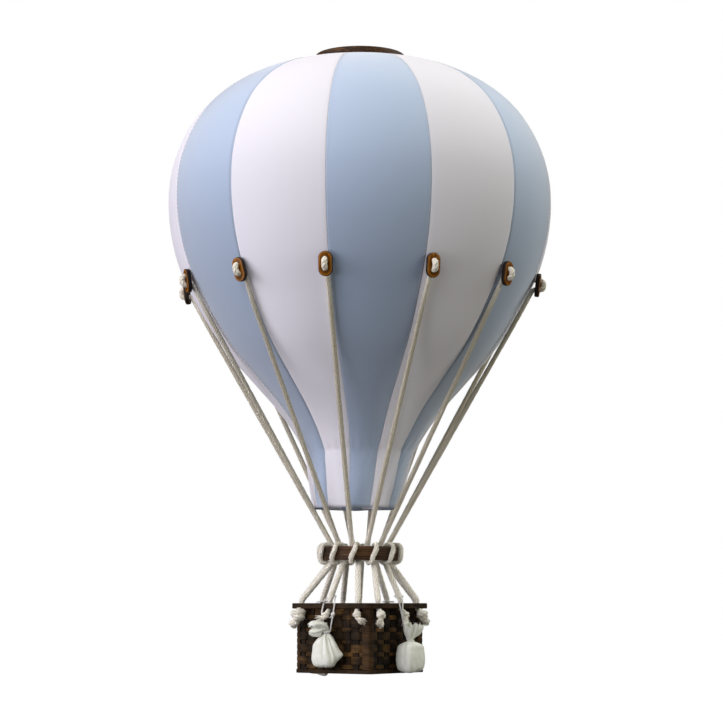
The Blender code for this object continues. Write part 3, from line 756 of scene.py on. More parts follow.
# Gives each corner of each face its place in the map, from its vertex and the face's middle
def map_faces(bm, place):
    uv = bm.loops.layers.uv.new("UVMap")
    for face in bm.faces:
        middle = face.calc_center_median()
        for loop in face.loops:
            loop[uv].uv = place(loop.vert, middle)


# An angle, whole turns added to bring it near another
def same_turn(angle, near):
    return angle + 2.0 * pi * round((near - angle) / (2.0 * pi))


# Turns a finished bmesh into a mesh. Open sheets face away from the balloon's axis
def finish_mesh(name, bm, smooth_angle=None, open_sheet=False):
    bmesh.ops.recalc_face_normals(bm, faces=bm.faces)
    if open_sheet:
        for face in bm.faces:
            middle = face.calc_center_median()
            if face.normal.xy.dot(middle.xy) < 0.0:
                face.normal_flip()
    mesh = bpy.data.meshes.new(name)
    bm.to_mesh(mesh)
    bm.free()
    if smooth_angle is not None:
        mesh.shade_smooth()
        mesh.set_sharp_from_angle(angle=radians(smooth_angle))
    return mesh


def add_piece(name, mesh, material, slot, body="root", replaces=()):
    piece = link_new(name, mesh)
    mesh.materials.clear()
    mesh.materials.append(material)
    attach(piece, body)
    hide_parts(*replaces)
    return piece


# Adds a piece of tubes: its finish is a material and a slot, which is not used, and where is its
# body and node
def add_tubes(name, lines, sides, *finish, closed=False, **where):
    return add_piece(name, tube_mesh(name, lines, sides, closed), *finish, **where)


def add_modifier(piece, kind, **settings):
    modifier = piece.modifiers.new(kind.title(), kind)
    for key, value in settings.items():
        setattr(modifier, key, value)


# The cloth's depths, radii, slopes and lengths along a seam, at even steps
OUTLINE = curve_through([(depth * MM, radius * MM) for depth, radius in ENVELOPE_OUTLINE],
                        GORE_STATION)
OUTLINE_SLOPE = np.gradient(OUTLINE[:, 1], OUTLINE[:, 0])
OUTLINE_LENGTH = running_total(step_lengths(OUTLINE))


def smooth_step(low, high, value):
    share = min(1.0, max(0.0, (value - low) / (high - low)))
    return share * share * (3.0 - 2.0 * share)


# One of the outline's values at a depth
def at_depth(depth, values):
    return float(np.interp(depth, OUTLINE[:, 0], values))


# How far the skirt hangs towards the photograph's left
def skirt_lean(depth):
    share = max(0.0, (depth - SKIRT_START) / (ENVELOPE_OUTLINE[-1][0] * MM - SKIRT_START))
    return -radial(CAMERA_AZIMUTH + 90.0) * SKIRT_LEAN * share ** 1.3


# A point of the cloth, lifted off the smooth form
def cloth_point(azimuth, depth, lift):
    slope = at_depth(depth, OUTLINE_SLOPE)
    scale = 1.0 / hypot(1.0, slope)
    point = polar(at_depth(depth, OUTLINE[:, 1]) + lift * scale, azimuth,
                  depth - lift * slope * scale)
    return point + skirt_lean(depth)


# Soft upright folds of the skirt, and the crease and short slanting wrinkles where the neck
# bends
def cloth_folds(azimuth, depth):
    turn = radians(azimuth)
    in_skirt = smooth_step(SKIRT_START, SKIRT_START + SKIRT_FOLD_FADE, depth)
    folds = sum(size * sin(count * turn + start + slant * depth)
                for count, size, start, slant in SKIRT_FOLDS)
    at_neck = exp(-((depth - NECK_CREASE) / NECK_CREASE_SPREAD) ** 2)
    crease = exp(-((depth - NECK_CREASE) / NECK_CREASE_WIDTH) ** 2)
    ripple = noise.noise(Vector((9.0 * turn, depth * 90.0 + 4.0 * turn, 3.0)))
    wrinkle = noise.noise(Vector((14.0 * turn + depth * 160.0, depth * 110.0 - 9.0 * turn, 8.0)))
    return (in_skirt * SKIRT_FOLD * folds
            + at_neck * (NECK_RIPPLE * ripple + NECK_WRINKLE * min(0.0, wrinkle))
            - crease * NECK_CREASE_DEPTH * (0.8 + 0.9 * ripple))


# A gore: its seam line spun round, then every vertex moved to its place on the cloth. More
# rows of faces stand near the seams, which are sunk
def gore_mesh(name, index):
    span = 360.0 / GORE_COUNT
    bm = spun([(0.0, -radius, -depth) for depth, radius in OUTLINE], GORE_STEPS, span)
    mapped = []
    for vert in bm.verts:
        depth = -vert.co.z
        even = degrees(atan2(vert.co.x, -vert.co.y)) / span
        share = 0.5 - 0.5 * cos(pi * min(1.0, max(0.0, even)))
        share = SEAM_INSET + share * (1.0 - 2.0 * SEAM_INSET)
        width = radians(span) * hypot(vert.co.x, vert.co.y)
        azimuth = seam_azimuth(index) + share * span
        to_seam = min(share, 1.0 - share) * width
        lift = GORE_BULGE * sin(pi * share) * smooth_step(0.0, GORE_BULGE_START, depth)
        lift -= SEAM_DIP * exp(-(to_seam / SEAM_DIP_WIDTH) ** 2)
        vert.co = cloth_point(azimuth, depth, lift + cloth_folds(azimuth, depth))
        mapped.append(((share - 0.5) * width, at_depth(depth, OUTLINE_LENGTH)))
    map_faces(bm, lambda vert, middle: mapped[vert.index])
    return finish_mesh(name, bm, 60, open_sheet=True)


def build_envelope(*cloths):
    for index in range(GORE_COUNT):
        number = f"{index + 1:02d}"
        material, slot = cloths[index % 2]
        mesh = gore_mesh(f"gore_cloth_{number}", index)
        gore = add_piece(mesh.name, mesh, material, slot, replaces=(f"gore_{number}",))
        add_modifier(gore, "SOLIDIFY", thickness=CLOTH_THICKNESS, offset=-1.0)


# Running stitches along the blue side of each seam, sunk in the cloth at both ends
def build_seam_stitches(thread):
    lines = []
    length = OUTLINE_LENGTH[-1] - STITCH_SHORT - STITCH_FROM
    for seam in range(GORE_COUNT):
        side = 1.0 if seam % 2 else -1.0
        for step in range(int(length / STITCH_PITCH)):
            line = []
            for share, lift, across, radius in STITCH_FORM:
                along = STITCH_FROM + step * STITCH_PITCH + share * STITCH_LENGTH
                depth = float(np.interp(along, OUTLINE_LENGTH, OUTLINE[:, 0]))
                turn = across * MM / at_depth(depth, OUTLINE[:, 1])
                azimuth = seam_azimuth(seam) + side * degrees(turn)
                point = cloth_point(azimuth, depth, cloth_folds(azimuth, depth) + lift * MM)
                line.append((*point, THREAD_RADIUS * radius))
            lines.append(line)
    add_tubes("seam_stitches", lines, 4, thread, "cloth_white")


def build_mouth_piping(material):
    depth = ENVELOPE_OUTLINE[-1][0] * MM
    below = Vector((0.0, 0.0, PIPING_RADIUS * 0.9))
    line = []
    for azimuth in range(0, 360, 3):
        folds = cloth_folds(azimuth, depth)
        point = cloth_point(azimuth, depth, folds - PIPING_RADIUS * 1.2)
        line.append((*(point - below), PIPING_RADIUS))
    add_tubes("mouth_cord", [line], 8, material, "piping", closed=True,
              replaces=("mouth_piping",))


def build_crown_disc(material):
    bm = bmesh.new()
    bmesh.ops.create_cone(bm, cap_ends=True, segments=128, radius1=DISC_RADIUS,
                          radius2=DISC_RADIUS, depth=DISC_THICKNESS)
    rims = [e for e in bm.edges if abs(e.verts[0].co.z - e.verts[1].co.z) < 1e-6]
    bmesh.ops.bevel(bm, geom=rims, offset=DISC_EDGE, segments=4, profile=0.5, affect="EDGES",
                    material=-1)
    bmesh.ops.translate(bm, verts=bm.verts, vec=(0, 0, DISC_TOP - DISC_THICKNESS / 2.0))
    add_piece("crown_plate", finish_mesh("crown_plate", bm, 40), material, "dark_wood",
              replaces=("crown_disc",))


def build_hanging_eye(material):
    middle = EYE_WIRE - EYE_RADIUS
    line = [(0.0, 0.0, DISC_TOP - EYE_SUNK, EYE_WIRE), (0.0, 0.0, middle - EYE_RADIUS, EYE_WIRE)]
    for step in range(EYE_STEPS + 1):
        angle = radians(-90.0 + EYE_BEND * step / EYE_STEPS)
        line.append((EYE_RADIUS * cos(angle), 0.0, middle + EYE_RADIUS * sin(angle), EYE_WIRE))
    add_tubes("eye_wire", [line], 12, material, "brass", replaces=("hanging_eye",))


# Downward and outward directions of the cloth where the toggles sit
def cloth_frame(azimuth, depth):
    step = 5.0 * MM
    slope = (envelope_radius(depth + step) - envelope_radius(depth - step)) / (2.0 * step)
    outward = radial(azimuth)
    return (outward * slope - UP).normalized(), (outward + UP * slope).normalized()


# A toggle's plate as a frame: origin at the middle of its back face, then its axes
def toggle_frame(index):
    azimuth = seam_azimuth(index) + ROPES[index][0]
    along, normal = cloth_frame(azimuth, TOGGLE_DEPTH)
    seat = polar(envelope_radius(TOGGLE_DEPTH), azimuth, TOGGLE_DEPTH)
    length_axis = along * cos(TOGGLE_TILT) + normal * sin(TOGGLE_TILT)
    face_axis = normal * cos(TOGGLE_TILT) - along * sin(TOGGLE_TILT)
    twist = Matrix.Rotation(radians(TOGGLE_TWISTS.get(index, 0.0)), 3, face_axis)
    lift = 2.0 * GAP + TOGGLE_LENGTH / 2.0 * sin(TOGGLE_TILT)
    return seat + normal * lift, twist @ length_axis, face_axis


# A level loop: a circle whose quarters are moved apart along X and Y. Gives its vertices
# and edges
def add_loop(bm, segments, radius, place, apart_x=0.0, apart_y=0.0):
    made = bmesh.ops.create_circle(bm, segments=segments, radius=radius, matrix=place)["verts"]
    for vert in made:
        vert.co.x += copysign(apart_x, vert.co.x)
        vert.co.y += copysign(apart_y, vert.co.y)
    return made, list(dict.fromkeys(edge for vert in made for edge in vert.link_edges))


# One level loop of the toggle's long outline, or of its two holes
def add_toggle_loop(bm, scorch_layer, radius, height, scorch, hole_side):
    straight = 0.0 if hole_side else TOGGLE_LENGTH - TOGGLE_WIDTH
    place = Matrix.Translation((0.0, hole_side * TOGGLE_PITCH / 2.0, height))
    verts, edges = add_loop(bm, TOGGLE_SEGMENTS, radius, place, apart_y=straight / 2.0)
    for vert in verts:
        vert[scorch_layer] = scorch
    return edges


# The plate as level loops joined up: rounded sides, a turned groove and two eased holes
def toggle_mesh(name, rng):
    bm = bmesh.new()
    layer = bm.verts.layers.float.new("scorch")
    loops = {}
    for side, profile in ((0.0, TOGGLE_PROFILE), (-1.0, TOGGLE_HOLE_PROFILE),
                          (1.0, TOGGLE_HOLE_PROFILE)):
        loops[side] = [add_toggle_loop(bm, layer, radius * MM, height * MM, scorch, side)
                       for radius, height, scorch in profile]
        for lower, upper in zip(loops[side], loops[side][1:]):
            bmesh.ops.bridge_loops(bm, edges=lower + upper)
    for end in (0, -1):
        face_edges = loops[0.0][end] + loops[-1.0][end] + loops[1.0][end]
        bmesh.ops.triangle_fill(bm, edges=face_edges, use_beauty=True)
    start = Vector((rng.uniform(0.0, 1.0), rng.uniform(0.0, 1.0)))
    map_faces(bm, lambda vert, middle: start + Vector((vert.co.x + vert.co.z * 0.3, vert.co.y)))
    return finish_mesh(name, bm, 50)


def build_toggles(material):
    for index in range(GORE_COUNT):
        number = f"{index + 1:02d}"
        origin, length_axis, face_axis = toggle_frame(index)
        across = length_axis.cross(face_axis)
        turn = Matrix((across, length_axis, face_axis)).transposed()
        mesh = toggle_mesh(f"toggle_plate_{number}", Random(index))
        mesh.transform(Matrix.Translation(origin) @ turn.to_4x4())
        add_piece(mesh.name, mesh, material, "toggle_wood", replaces=(f"toggle_{number}",))


# Quarter bend in a plane: from a start point, leaving along one axis and turning to another
def quarter_bend(start, leave, turn_to, radius, steps=4):
    centre = start + turn_to * radius
    points = []
    for step in range(steps + 1):
        angle = pi / 2.0 * step / steps
        points.append(centre - turn_to * radius * cos(angle) + leave * radius * sin(angle))
    return points


# Out of the upper hole, over the plate's face, back through the lower hole and down. The
# rope swells where it lies free over the face
def stitch_points(index):
    origin, along, out = toggle_frame(index)
    half = TOGGLE_PITCH / 2.0
    start = origin - along * half - out * STITCH_BEHIND
    leaves_face = origin - along * half + out * (TOGGLE_THICKNESS + STITCH_LIFT)
    over = quarter_bend(leaves_face, out, along, STITCH_BEND)
    top = TOGGLE_THICKNESS + STITCH_LIFT + STITCH_BEND
    down_bend = quarter_bend(origin + along * (half - STITCH_BEND) + out * top, along, -out,
                             STITCH_BEND)
    behind = quarter_bend(origin + along * half - out * 0.2 * MM, -out, along, STITCH_BEND)
    points = [(start, STITCH_RADIUS), (over[0], STITCH_RADIUS)]
    points += [(point, STITCH_FACE_RADIUS) for point in (*over[1:], *down_bend[:-1])]
    points += [(point, STITCH_RADIUS) for point in (down_bend[-1], *behind)]
    return points


# Round the hoop's wall: down inside it, under, up the outside, over and down inside again.
# The rope is pressed flat where it bends over the edges. The route's columns are radius,
# azimuth and depth, and the rope's radius
def wrap_points(azimuth):
    first = azimuth - WRAP_HALF_ANGLE
    last = azimuth + WRAP_HALF_ANGLE
    side = WRAP_SIDE_RADIUS + WRAP_GAP
    edge = WRAP_EDGE_RADIUS + WRAP_GAP
    diagonal = edge * sqrt(0.5)
    bottom = HOOP_TOP + HOOP_HEIGHT
    route = (
        (HOOP_INNER - side - 0.4 * MM, first, HOOP_TOP - 1.0 * MM, WRAP_SIDE_RADIUS),
        (HOOP_INNER - side, first, bottom, WRAP_SIDE_RADIUS),
        (HOOP_INNER - diagonal, first + 0.4, bottom + diagonal, WRAP_EDGE_RADIUS),
        (HOOP_INNER, first + 1.2, bottom + edge, WRAP_EDGE_RADIUS),
        (HOOP_OUTER, first + 3.0, bottom + edge, WRAP_EDGE_RADIUS),
        (HOOP_OUTER + diagonal, first + 3.4, bottom + diagonal, WRAP_EDGE_RADIUS),
        (HOOP_OUTER + side, first + 3.8, bottom - 2.0 * MM, WRAP_SIDE_RADIUS),
        (HOOP_OUTER + side, last - 3.8, HOOP_TOP + 2.0 * MM, WRAP_SIDE_RADIUS),
        (HOOP_OUTER + diagonal, last - 3.4, HOOP_TOP - diagonal, WRAP_EDGE_RADIUS),
        (HOOP_OUTER, last - 3.0, HOOP_TOP - edge, WRAP_EDGE_RADIUS),
        (HOOP_INNER, last - 1.2, HOOP_TOP - edge, WRAP_EDGE_RADIUS),
        (HOOP_INNER - diagonal, last - 0.4, HOOP_TOP - diagonal, WRAP_EDGE_RADIUS),
        (HOOP_INNER - side, last, HOOP_TOP, WRAP_SIDE_RADIUS),
        (HOOP_INNER - side, last, bottom + 0.8 * MM, ROPE_RADIUS),
    )
    return [(polar(*point[:3]), point[3]) for point in route]


# Down through the rim's hole and out over the wall's notch
def foot_points(side, along):
    rim_bottom = RIM_TOP + RIM_HEIGHT
    return [(side_point(side, ROPE_HOLE_LINE + outward, along, depth), radius)
            for outward, depth, radius in (
                (0.0, RIM_TOP - 2.5 * MM, ROPE_RADIUS), (0.0, RIM_TOP - 0.3 * MM, FOOT_RADIUS),
                (0.0, rim_bottom + 0.2 * MM, FOOT_RADIUS),
                (1.4 * MM, rim_bottom + 1.6 * MM, FOOT_RADIUS))]


# The knot: into its middle, nearly two turns round it from the bottom up, and down through
# the middle to the tail. Gives the route and where the tail starts
def knot_points(centre, axis, first_way, size):
    across = axis.cross(first_way).normalized()
    ahead = across.cross(axis)
    radius = KNOT_ROPE * size
    turn_radius = KNOT_TURN_RADIUS * size
    points = [(centre + axis * KNOT_ABOVE * size, radius * 1.1), (centre, radius * 0.6)]
    points.append((centre - axis * KNOT_RISE * size / 2.0, radius * 0.8))
    for step in range(KNOT_STEPS + 1):
        angle = 2.0 * pi * KNOT_TURNS * step / KNOT_STEPS
        rise = axis * KNOT_RISE * size * (step / KNOT_STEPS - 0.5)
        around = (ahead * cos(angle) + across * sin(angle)) * turn_radius
        points.append((centre + around + rise, radius))
    points += [(centre + axis * KNOT_RISE * size * 0.4, radius * 0.8), (centre, radius * 0.6)]
    end = centre - axis * KNOT_BELOW * size
    points.append((end, radius * 1.15))
    return points, end


# Loose yarns fanning from a rope's end
def frayed_yarns(rng, start, way, length, spread, count):
    side = way.orthogonal().normalized()
    other = way.cross(side)
    lines = []
    for _ in range(count):
        turn = rng.uniform(0.0, 2.0 * pi)
        lateral = (side * cos(turn) + other * sin(turn)) * sqrt(rng.random())
        reach = length * rng.uniform(0.7, 1.1)
        curl = Vector([rng.uniform(-1.0, 1.0) for _ in range(3)]) * YARN_CURL
        line = []
        for step in range(YARN_STEPS + 1):
            share = step / YARN_STEPS
            point = start + way * (reach * share - YARN_INSIDE)
            point += lateral * (YARN_BUNDLE + spread * reach * share ** 1.3)
            point += curl * sin(pi * 0.8 * share) * share
            line.append((*point, YARN_RADIUS * (1.0 - 0.45 * share)))
        lines.append(line)
    return lines


def build_rope(index, material):
    offset, side, hole, size, end, lean, out_lean = ROPES[index]
    rng = Random(40 + index)
    seam = seam_azimuth(index)
    rest_radius = envelope_radius(ROPE_REST_DEPTH) + (ROPE_RADIUS + 2.0 * GAP) * 1.2
    rest = (polar(rest_radius, seam + offset * 0.8, ROPE_REST_DEPTH), TAUT_ROPE_RADIUS)
    _, facing, holes = BASKET_SIDES[side]
    along = holes[hole] * MM
    out = radial(facing)
    sideways = radial(facing + 90.0)
    centre = side_point(side, ROPE_HOLE_LINE + KNOT_OUT, along + KNOT_SHIFTS.get(index, 0.0) * MM,
                        RIM_TOP + RIM_HEIGHT + KNOT_DROP)
    axis = (UP + out * rng.uniform(-0.25, 0.1) + sideways * rng.uniform(-0.3, 0.3)).normalized()
    knot, knot_end = knot_points(centre, axis, out, size)
    way = (sideways * lean + out * out_lean - UP).normalized()
    tail = [(knot_end + way * TAIL_START, KNOT_ROPE * size * 1.15)]
    if end == "cut":
        tail.append((knot_end + way * CUT_TAIL, KNOT_ROPE * size * 1.2))
    route = [*stitch_points(index), rest, *wrap_points(seam), *foot_points(side, along), *knot,
             *tail]
    path = pulled_route([(*point, radius) for point, radius in route], ROPE_STEP)
    lines = laid_strands(path, ROPE_STRANDS, STRAND_SHARE)
    lines += frayed_yarns(rng, tail[-1][0], way, *FRAYS[end])
    number = f"{index + 1:02d}"
    add_tubes(f"rope_laid_{number}", lines, 6, material, "cotton_rope",
              replaces=(f"rope_{number}",))


# The hoop's section spun round: rounded edges, and a turned line a third of the way down
def build_load_hoop(material):
    bm = spun([(0.0, -(HOOP_INNER + out * MM), DISC_TOP - HOOP_TOP - depth * MM)
               for out, depth in HOOP_SECTION], 160, closed=True)
    map_faces(bm, lambda vert, middle: (
        HOOP_OUTER * same_turn(atan2(vert.co.x, -vert.co.y), atan2(middle.x, -middle.y)),
        vert.co.z + vert.co.xy.length))
    add_piece("hoop_turned", finish_mesh("hoop_turned", bm, 35), material, "dark_wood",
              replaces=("load_hoop",))


# A level loop round a square with rounded corners
def add_square_loop(bm, half, corner, height):
    place = Matrix.Translation((0.0, 0.0, height)) @ Matrix.Rotation(pi / 32.0, 4, "Z")
    return add_loop(bm, 32, corner, place, half - corner, half - corner)[1]


# The rim: a square board with a hole for each rope, its streaks running along each side
def build_basket_rim(material):
    bm = bmesh.new()
    top = DISC_TOP - RIM_TOP
    add_square_loop(bm, RIM_OUTER_HALF, RIM_CORNER, top)
    add_square_loop(bm, RIM_INNER_HALF, RIM_INNER_CORNER, top)
    for _, facing, holes in BASKET_SIDES:
        for along in holes:
            middle = radial(facing) * ROPE_HOLE_LINE + radial(facing + 90.0) * along * MM
            place = Matrix.Translation(middle + Vector((0.0, 0.0, top)))
            bmesh.ops.create_circle(bm, segments=20, radius=ROPE_HOLE, matrix=place)
    bmesh.ops.triangle_fill(bm, edges=bm.edges[:], use_beauty=True)
    made = bmesh.ops.extrude_face_region(bm, geom=bm.faces[:])["geom"]
    lowered = [v for v in made if isinstance(v, bmesh.types.BMVert)]
    bmesh.ops.translate(bm, verts=lowered, vec=(0.0, 0.0, -RIM_HEIGHT))
    map_faces(bm, lambda vert, middle: (
        (vert.co.y, vert.co.x + vert.co.z) if abs(middle.x) > abs(middle.y)
        else (vert.co.x, vert.co.y + vert.co.z)))
    rim = add_piece("rim_board", finish_mesh("rim_board", bm, 40), material, "wicker",
                    replaces=("basket_rim",))
    add_modifier(rim, "BEVEL", width=RIM_EDGE, segments=3, limit_method="ANGLE",
                 angle_limit=radians(50))


# One flat strip of the weave as a grid. The strip runs along X in the wall's own frame, or
# along Z where it is upright, and its wave gives how far it stands out at each place along
def add_strip(bm, uv, strip, centre, length, width, upright, wave, tone, segments):
    made = bmesh.ops.create_grid(bm, x_segments=segments, y_segments=4, size=0.5)
    reach = max(abs(v.co.x) for v in made["verts"])
    half = max(abs(v.co.y) for v in made["verts"])
    for vert in made["verts"]:
        along = vert.co.x / reach * length / 2.0
        across = vert.co.y / half * width / 2.0
        crown = STRIP_CROWN * (1.0 - (vert.co.y / half) ** 2)
        out = wave(along) + crown
        vert[strip] = tone
        mapped = (along + centre.x + 3.0 * centre.z, across + centre.z + 7.0 * centre.x)
        for loop in vert.link_loops:
            loop[uv].uv = mapped
        vert.co = centre + (Vector((across, -out, along)) if upright
                            else Vector((along, -out, across)))


# Which side of the stakes a band passes at a place along the wall, from -1 to 1
def band_wave(along, first_sign):
    column = (along + STAKE_PITCH * (STAKES_PER_SIDE - 1) / 2.0) / STAKE_PITCH
    return first_sign * tanh(WEAVE_SHARPNESS * cos(pi * column))


def build_basket_walls(material):
    for number, (side, facing, _) in enumerate(BASKET_SIDES):
        rng = Random(80 + number)
        bm = bmesh.new()
        uv = bm.loops.layers.uv.new("UVMap")
        strip = bm.verts.layers.float.new("strip")
        # Painted shade: every strip of a side darkened by that side's share
        wall_painted_shade = WALL_PAINTED_SHADES[number]
        # The stakes take a lower tone than the bands: a darker stain, and painted shade of their
        # recess behind the bands
        for column in range(STAKES_PER_SIDE):
            place = (column - (STAKES_PER_SIDE - 1) / 2.0) * STAKE_PITCH
            centre = Vector((place + rng.uniform(-0.2, 0.2) * MM, WALL_MIDDLE,
                             DISC_TOP - (STAKE_TOP + STAKE_BOTTOM) / 2.0))
            add_strip(bm, uv, strip, centre, STAKE_BOTTOM - STAKE_TOP, STAKE_WIDTH, True,
                      lambda along: 0.0, rng.uniform(0.0, 0.3) + wall_painted_shade, 24)
        for row in range(BAND_ROWS):
            for offset, width, sign in ((0.0, WIDE_BAND, 1.0),
                                        (BAND_PERIOD / 2.0, NARROW_BAND, -1.0)):
                depth = FIRST_WIDE_BAND + row * BAND_PERIOD + offset
                centre = Vector((0.0, WALL_MIDDLE,
                                 DISC_TOP - depth + rng.uniform(-0.15, 0.15) * MM))
                add_strip(bm, uv, strip, centre, BAND_LENGTH, width, False,
                          lambda along, sign=sign: WEAVE_AMPLITUDE * band_wave(along, sign),
                          rng.uniform(0.2, 1.0) + (0.25 if sign < 0.0 else 0.0) + wall_painted_shade,
                          STAKES_PER_SIDE * 9)
        place = (Matrix.Translation(radial(facing) * BASKET_HALF)
                 @ Matrix.Rotation(radians(facing), 4, "Z"))
        bmesh.ops.transform(bm, matrix=place, verts=bm.verts)
        wall = add_piece(f"wall_weave_{side}", finish_mesh(f"wall_weave_{side}", bm, 60),
                         material, "wicker", replaces=(f"basket_wall_{side}",))
        add_modifier(wall, "SOLIDIFY", thickness=STRIP_THICKNESS, offset=0.0)
        add_modifier(wall, "BEVEL", width=STRIP_EDGE, segments=2, limit_method="ANGLE",
                     angle_limit=radians(60))


# A strip bent round each corner, wider on one side than on the other, its wrapping's turns
# standing out in rows
def build_corner_posts(material):
    bm = bmesh.new()
    uv = bm.loops.layers.uv.new("UVMap")
    strip = bm.verts.layers.float.new("strip")
    top = DISC_TOP - RIM_TOP - RIM_HEIGHT
    bottom = DISC_TOP - BASKET_BOTTOM + FOOT_BAND
    half_arc = POST_ROUND * pi / 4.0
    for corner in range(4):
        made = bmesh.ops.create_grid(bm, x_segments=18, y_segments=90, size=0.5)
        turn = Matrix.Rotation(radians(90.0 * corner), 3, "Z")
        for vert in made["verts"]:
            share = vert.co.x + 0.5
            along = share * (POST_WIDE + POST_NARROW) - POST_WIDE
            height = bottom + (top - bottom) * (vert.co.y + 0.5)
            row = (height + 0.1 * along) / POST_WRAP
            out = POST_RIDGE * min(1.0, abs(sin(pi * row)) * 2.0)
            middle = BASKET_HALF - POST_RIDGE + out - POST_ROUND
            angle = min(1.0, max(-1.0, along / half_arc)) * pi / 4.0 + pi / 4.0
            x = middle + POST_ROUND * sin(angle) + min(0.0, along + half_arc)
            y = -middle - POST_ROUND * cos(angle) + max(0.0, along - half_arc)
            vert[strip] = POST_TONE
            for loop in vert.link_loops:
                loop[uv].uv = (along + corner * 0.05, height)
            vert.co = turn @ Vector((x, y, height))
    posts = add_piece("corner_posts", finish_mesh("corner_posts", bm, 60, open_sheet=True),
                      material, "wicker")
    add_modifier(posts, "SOLIDIFY", thickness=POST_THICKNESS, offset=-1.0)


def build_foot_band(material):
    bm = bmesh.new()
    bottom = DISC_TOP - BASKET_BOTTOM
    top = bottom + FOOT_BAND
    inner = BASKET_HALF - FOOT_BAND_THICKNESS
    eased = BASKET_HALF - FOOT_BAND_EDGE
    loops = [add_square_loop(bm, half, FOOT_BAND_CORNER, height) for half, height in (
        (inner, bottom), (eased, bottom), (BASKET_HALF, bottom + FOOT_BAND_EDGE),
        (BASKET_HALF, top - FOOT_BAND_EDGE), (eased, top), (inner, top))]
    for lower, upper in zip(loops, loops[1:] + loops[:1]):
        bmesh.ops.bridge_loops(bm, edges=lower + upper)
    map_faces(bm, lambda vert, middle: (vert.co.x + vert.co.y, vert.co.z))
    add_piece("foot_band", finish_mesh("foot_band", bm, 40), material, "wicker")


# Where a sandbag's cord passes over the rim's outer edge, and the frame that it swings in:
# outward is -Y
def bag_frame(side):
    _, facing, holes = BASKET_SIDES[side]
    clear = GAP + BAG_CORD_RADIUS
    point = side_point(side, RIM_OUTER_HALF + clear, holes[1] * MM, RIM_TOP - clear)
    return Matrix.Translation(point) @ Matrix.Rotation(radians(facing), 4, "Z")


# The bag before it is filled, its bottom at the origin and its neck up, with the gathered
# cloth above the neck. Also gives the vertices of the cut edge, each with its neighbour below
def sandbag_form(side, tall, half_width, half_depth, form):
    rng = Random(120 + side)
    points = [(x * half_width, z * tall) for x, z in form["body"]]
    points += [(radius * MM, tall + rise * MM) for radius, rise in form["ruffle"]]
    bm = spun([(x, 0.0, z) for x, z in curve_through(points, BAG_STATION)], BAG_SECTORS)
    map_faces(bm, lambda vert, middle: (
        half_width * same_turn(atan2(vert.co.y, vert.co.x), atan2(middle.y, middle.x)),
        vert.co.z))
    waves = [(count, rng.uniform(0.6, 1.0), rng.uniform(0.0, 6.3)) for count in BAG_PLEATS]
    for vert in bm.verts:
        angle = atan2(vert.co.y, vert.co.x)
        radius = hypot(vert.co.x, vert.co.y)
        height = vert.co.z / tall
        above = max(0.0, vert.co.z - tall)
        gathered = smooth_step(0.6, 0.95, height)
        radius += NECK_GATHER * gathered * sin(NECK_GATHERS * angle)
        wave = sum(size * sin(count * angle + start) for count, size, start in waves)
        radius *= 1.0 + form["wave"] * wave * smooth_step(0.0, RUFFLE_FLARE, above)
        flatter = 1.0 + (half_depth / half_width - 1.0) * (1.0 - smooth_step(0.7, 0.95, height))
        vert.co.x = radius * cos(angle)
        vert.co.y = radius * sin(angle) * flatter
        vert.co.z += above * form["edge"] * sin(4.0 * angle + waves[0][2])
    bm.verts.index_update()
    edge = [(vert.index, next(e.other_vert(vert).index for e in vert.link_edges
                              if not e.is_boundary))
            for vert in bm.verts if vert.is_boundary]
    return bm, edge


# Corners, creases down from the neck and a sagging corner of the filled bag, which the
# filling itself would blow flat
def fold_sandbag(mesh, tall, form):
    dip_azimuth, dip = form["dip"]
    for vert in mesh.vertices:
        height = vert.co.z / tall
        if height >= 1.0:
            continue
        angle = atan2(vert.co.y, vert.co.x)
        radius = hypot(vert.co.x, vert.co.y)
        body = 1.0 - smooth_step(0.8, 0.97, height)
        swell = 1.0 + form["square"] * body * cos(4.0 * (angle - BAG_CORNER))
        for azimuth, level, size, wide, spread in form["corners"]:
            away = remainder(angle - radians(azimuth), 2.0 * pi) / wide
            swell += size * body * exp(-away ** 2 - ((height - level) / spread) ** 2)
        creased = smooth_step(0.05, 0.4, height) * (1.0 - smooth_step(0.9, 1.0, height))
        for at_neck, at_foot, depth in form["creases"]:
            azimuth = radians(at_foot + (at_neck - at_foot) * height)
            away = remainder(angle - azimuth, 2.0 * pi) / CREASE_WIDTH
            crease = depth * MM * creased * exp(-away ** 2)
            swell -= crease / max(radius, 2.0 * BAG_NECK_RADIUS)
        away = remainder(angle - radians(dip_azimuth), 2.0 * pi) / DIP_WIDTH
        sagging = (1.0 - smooth_step(0.05, 0.5, height)) * min(1.0, radius / DIP_RADIUS)
        vert.co.x *= swell
        vert.co.y *= swell
        vert.co.z -= dip * MM * sagging * exp(-away ** 2)


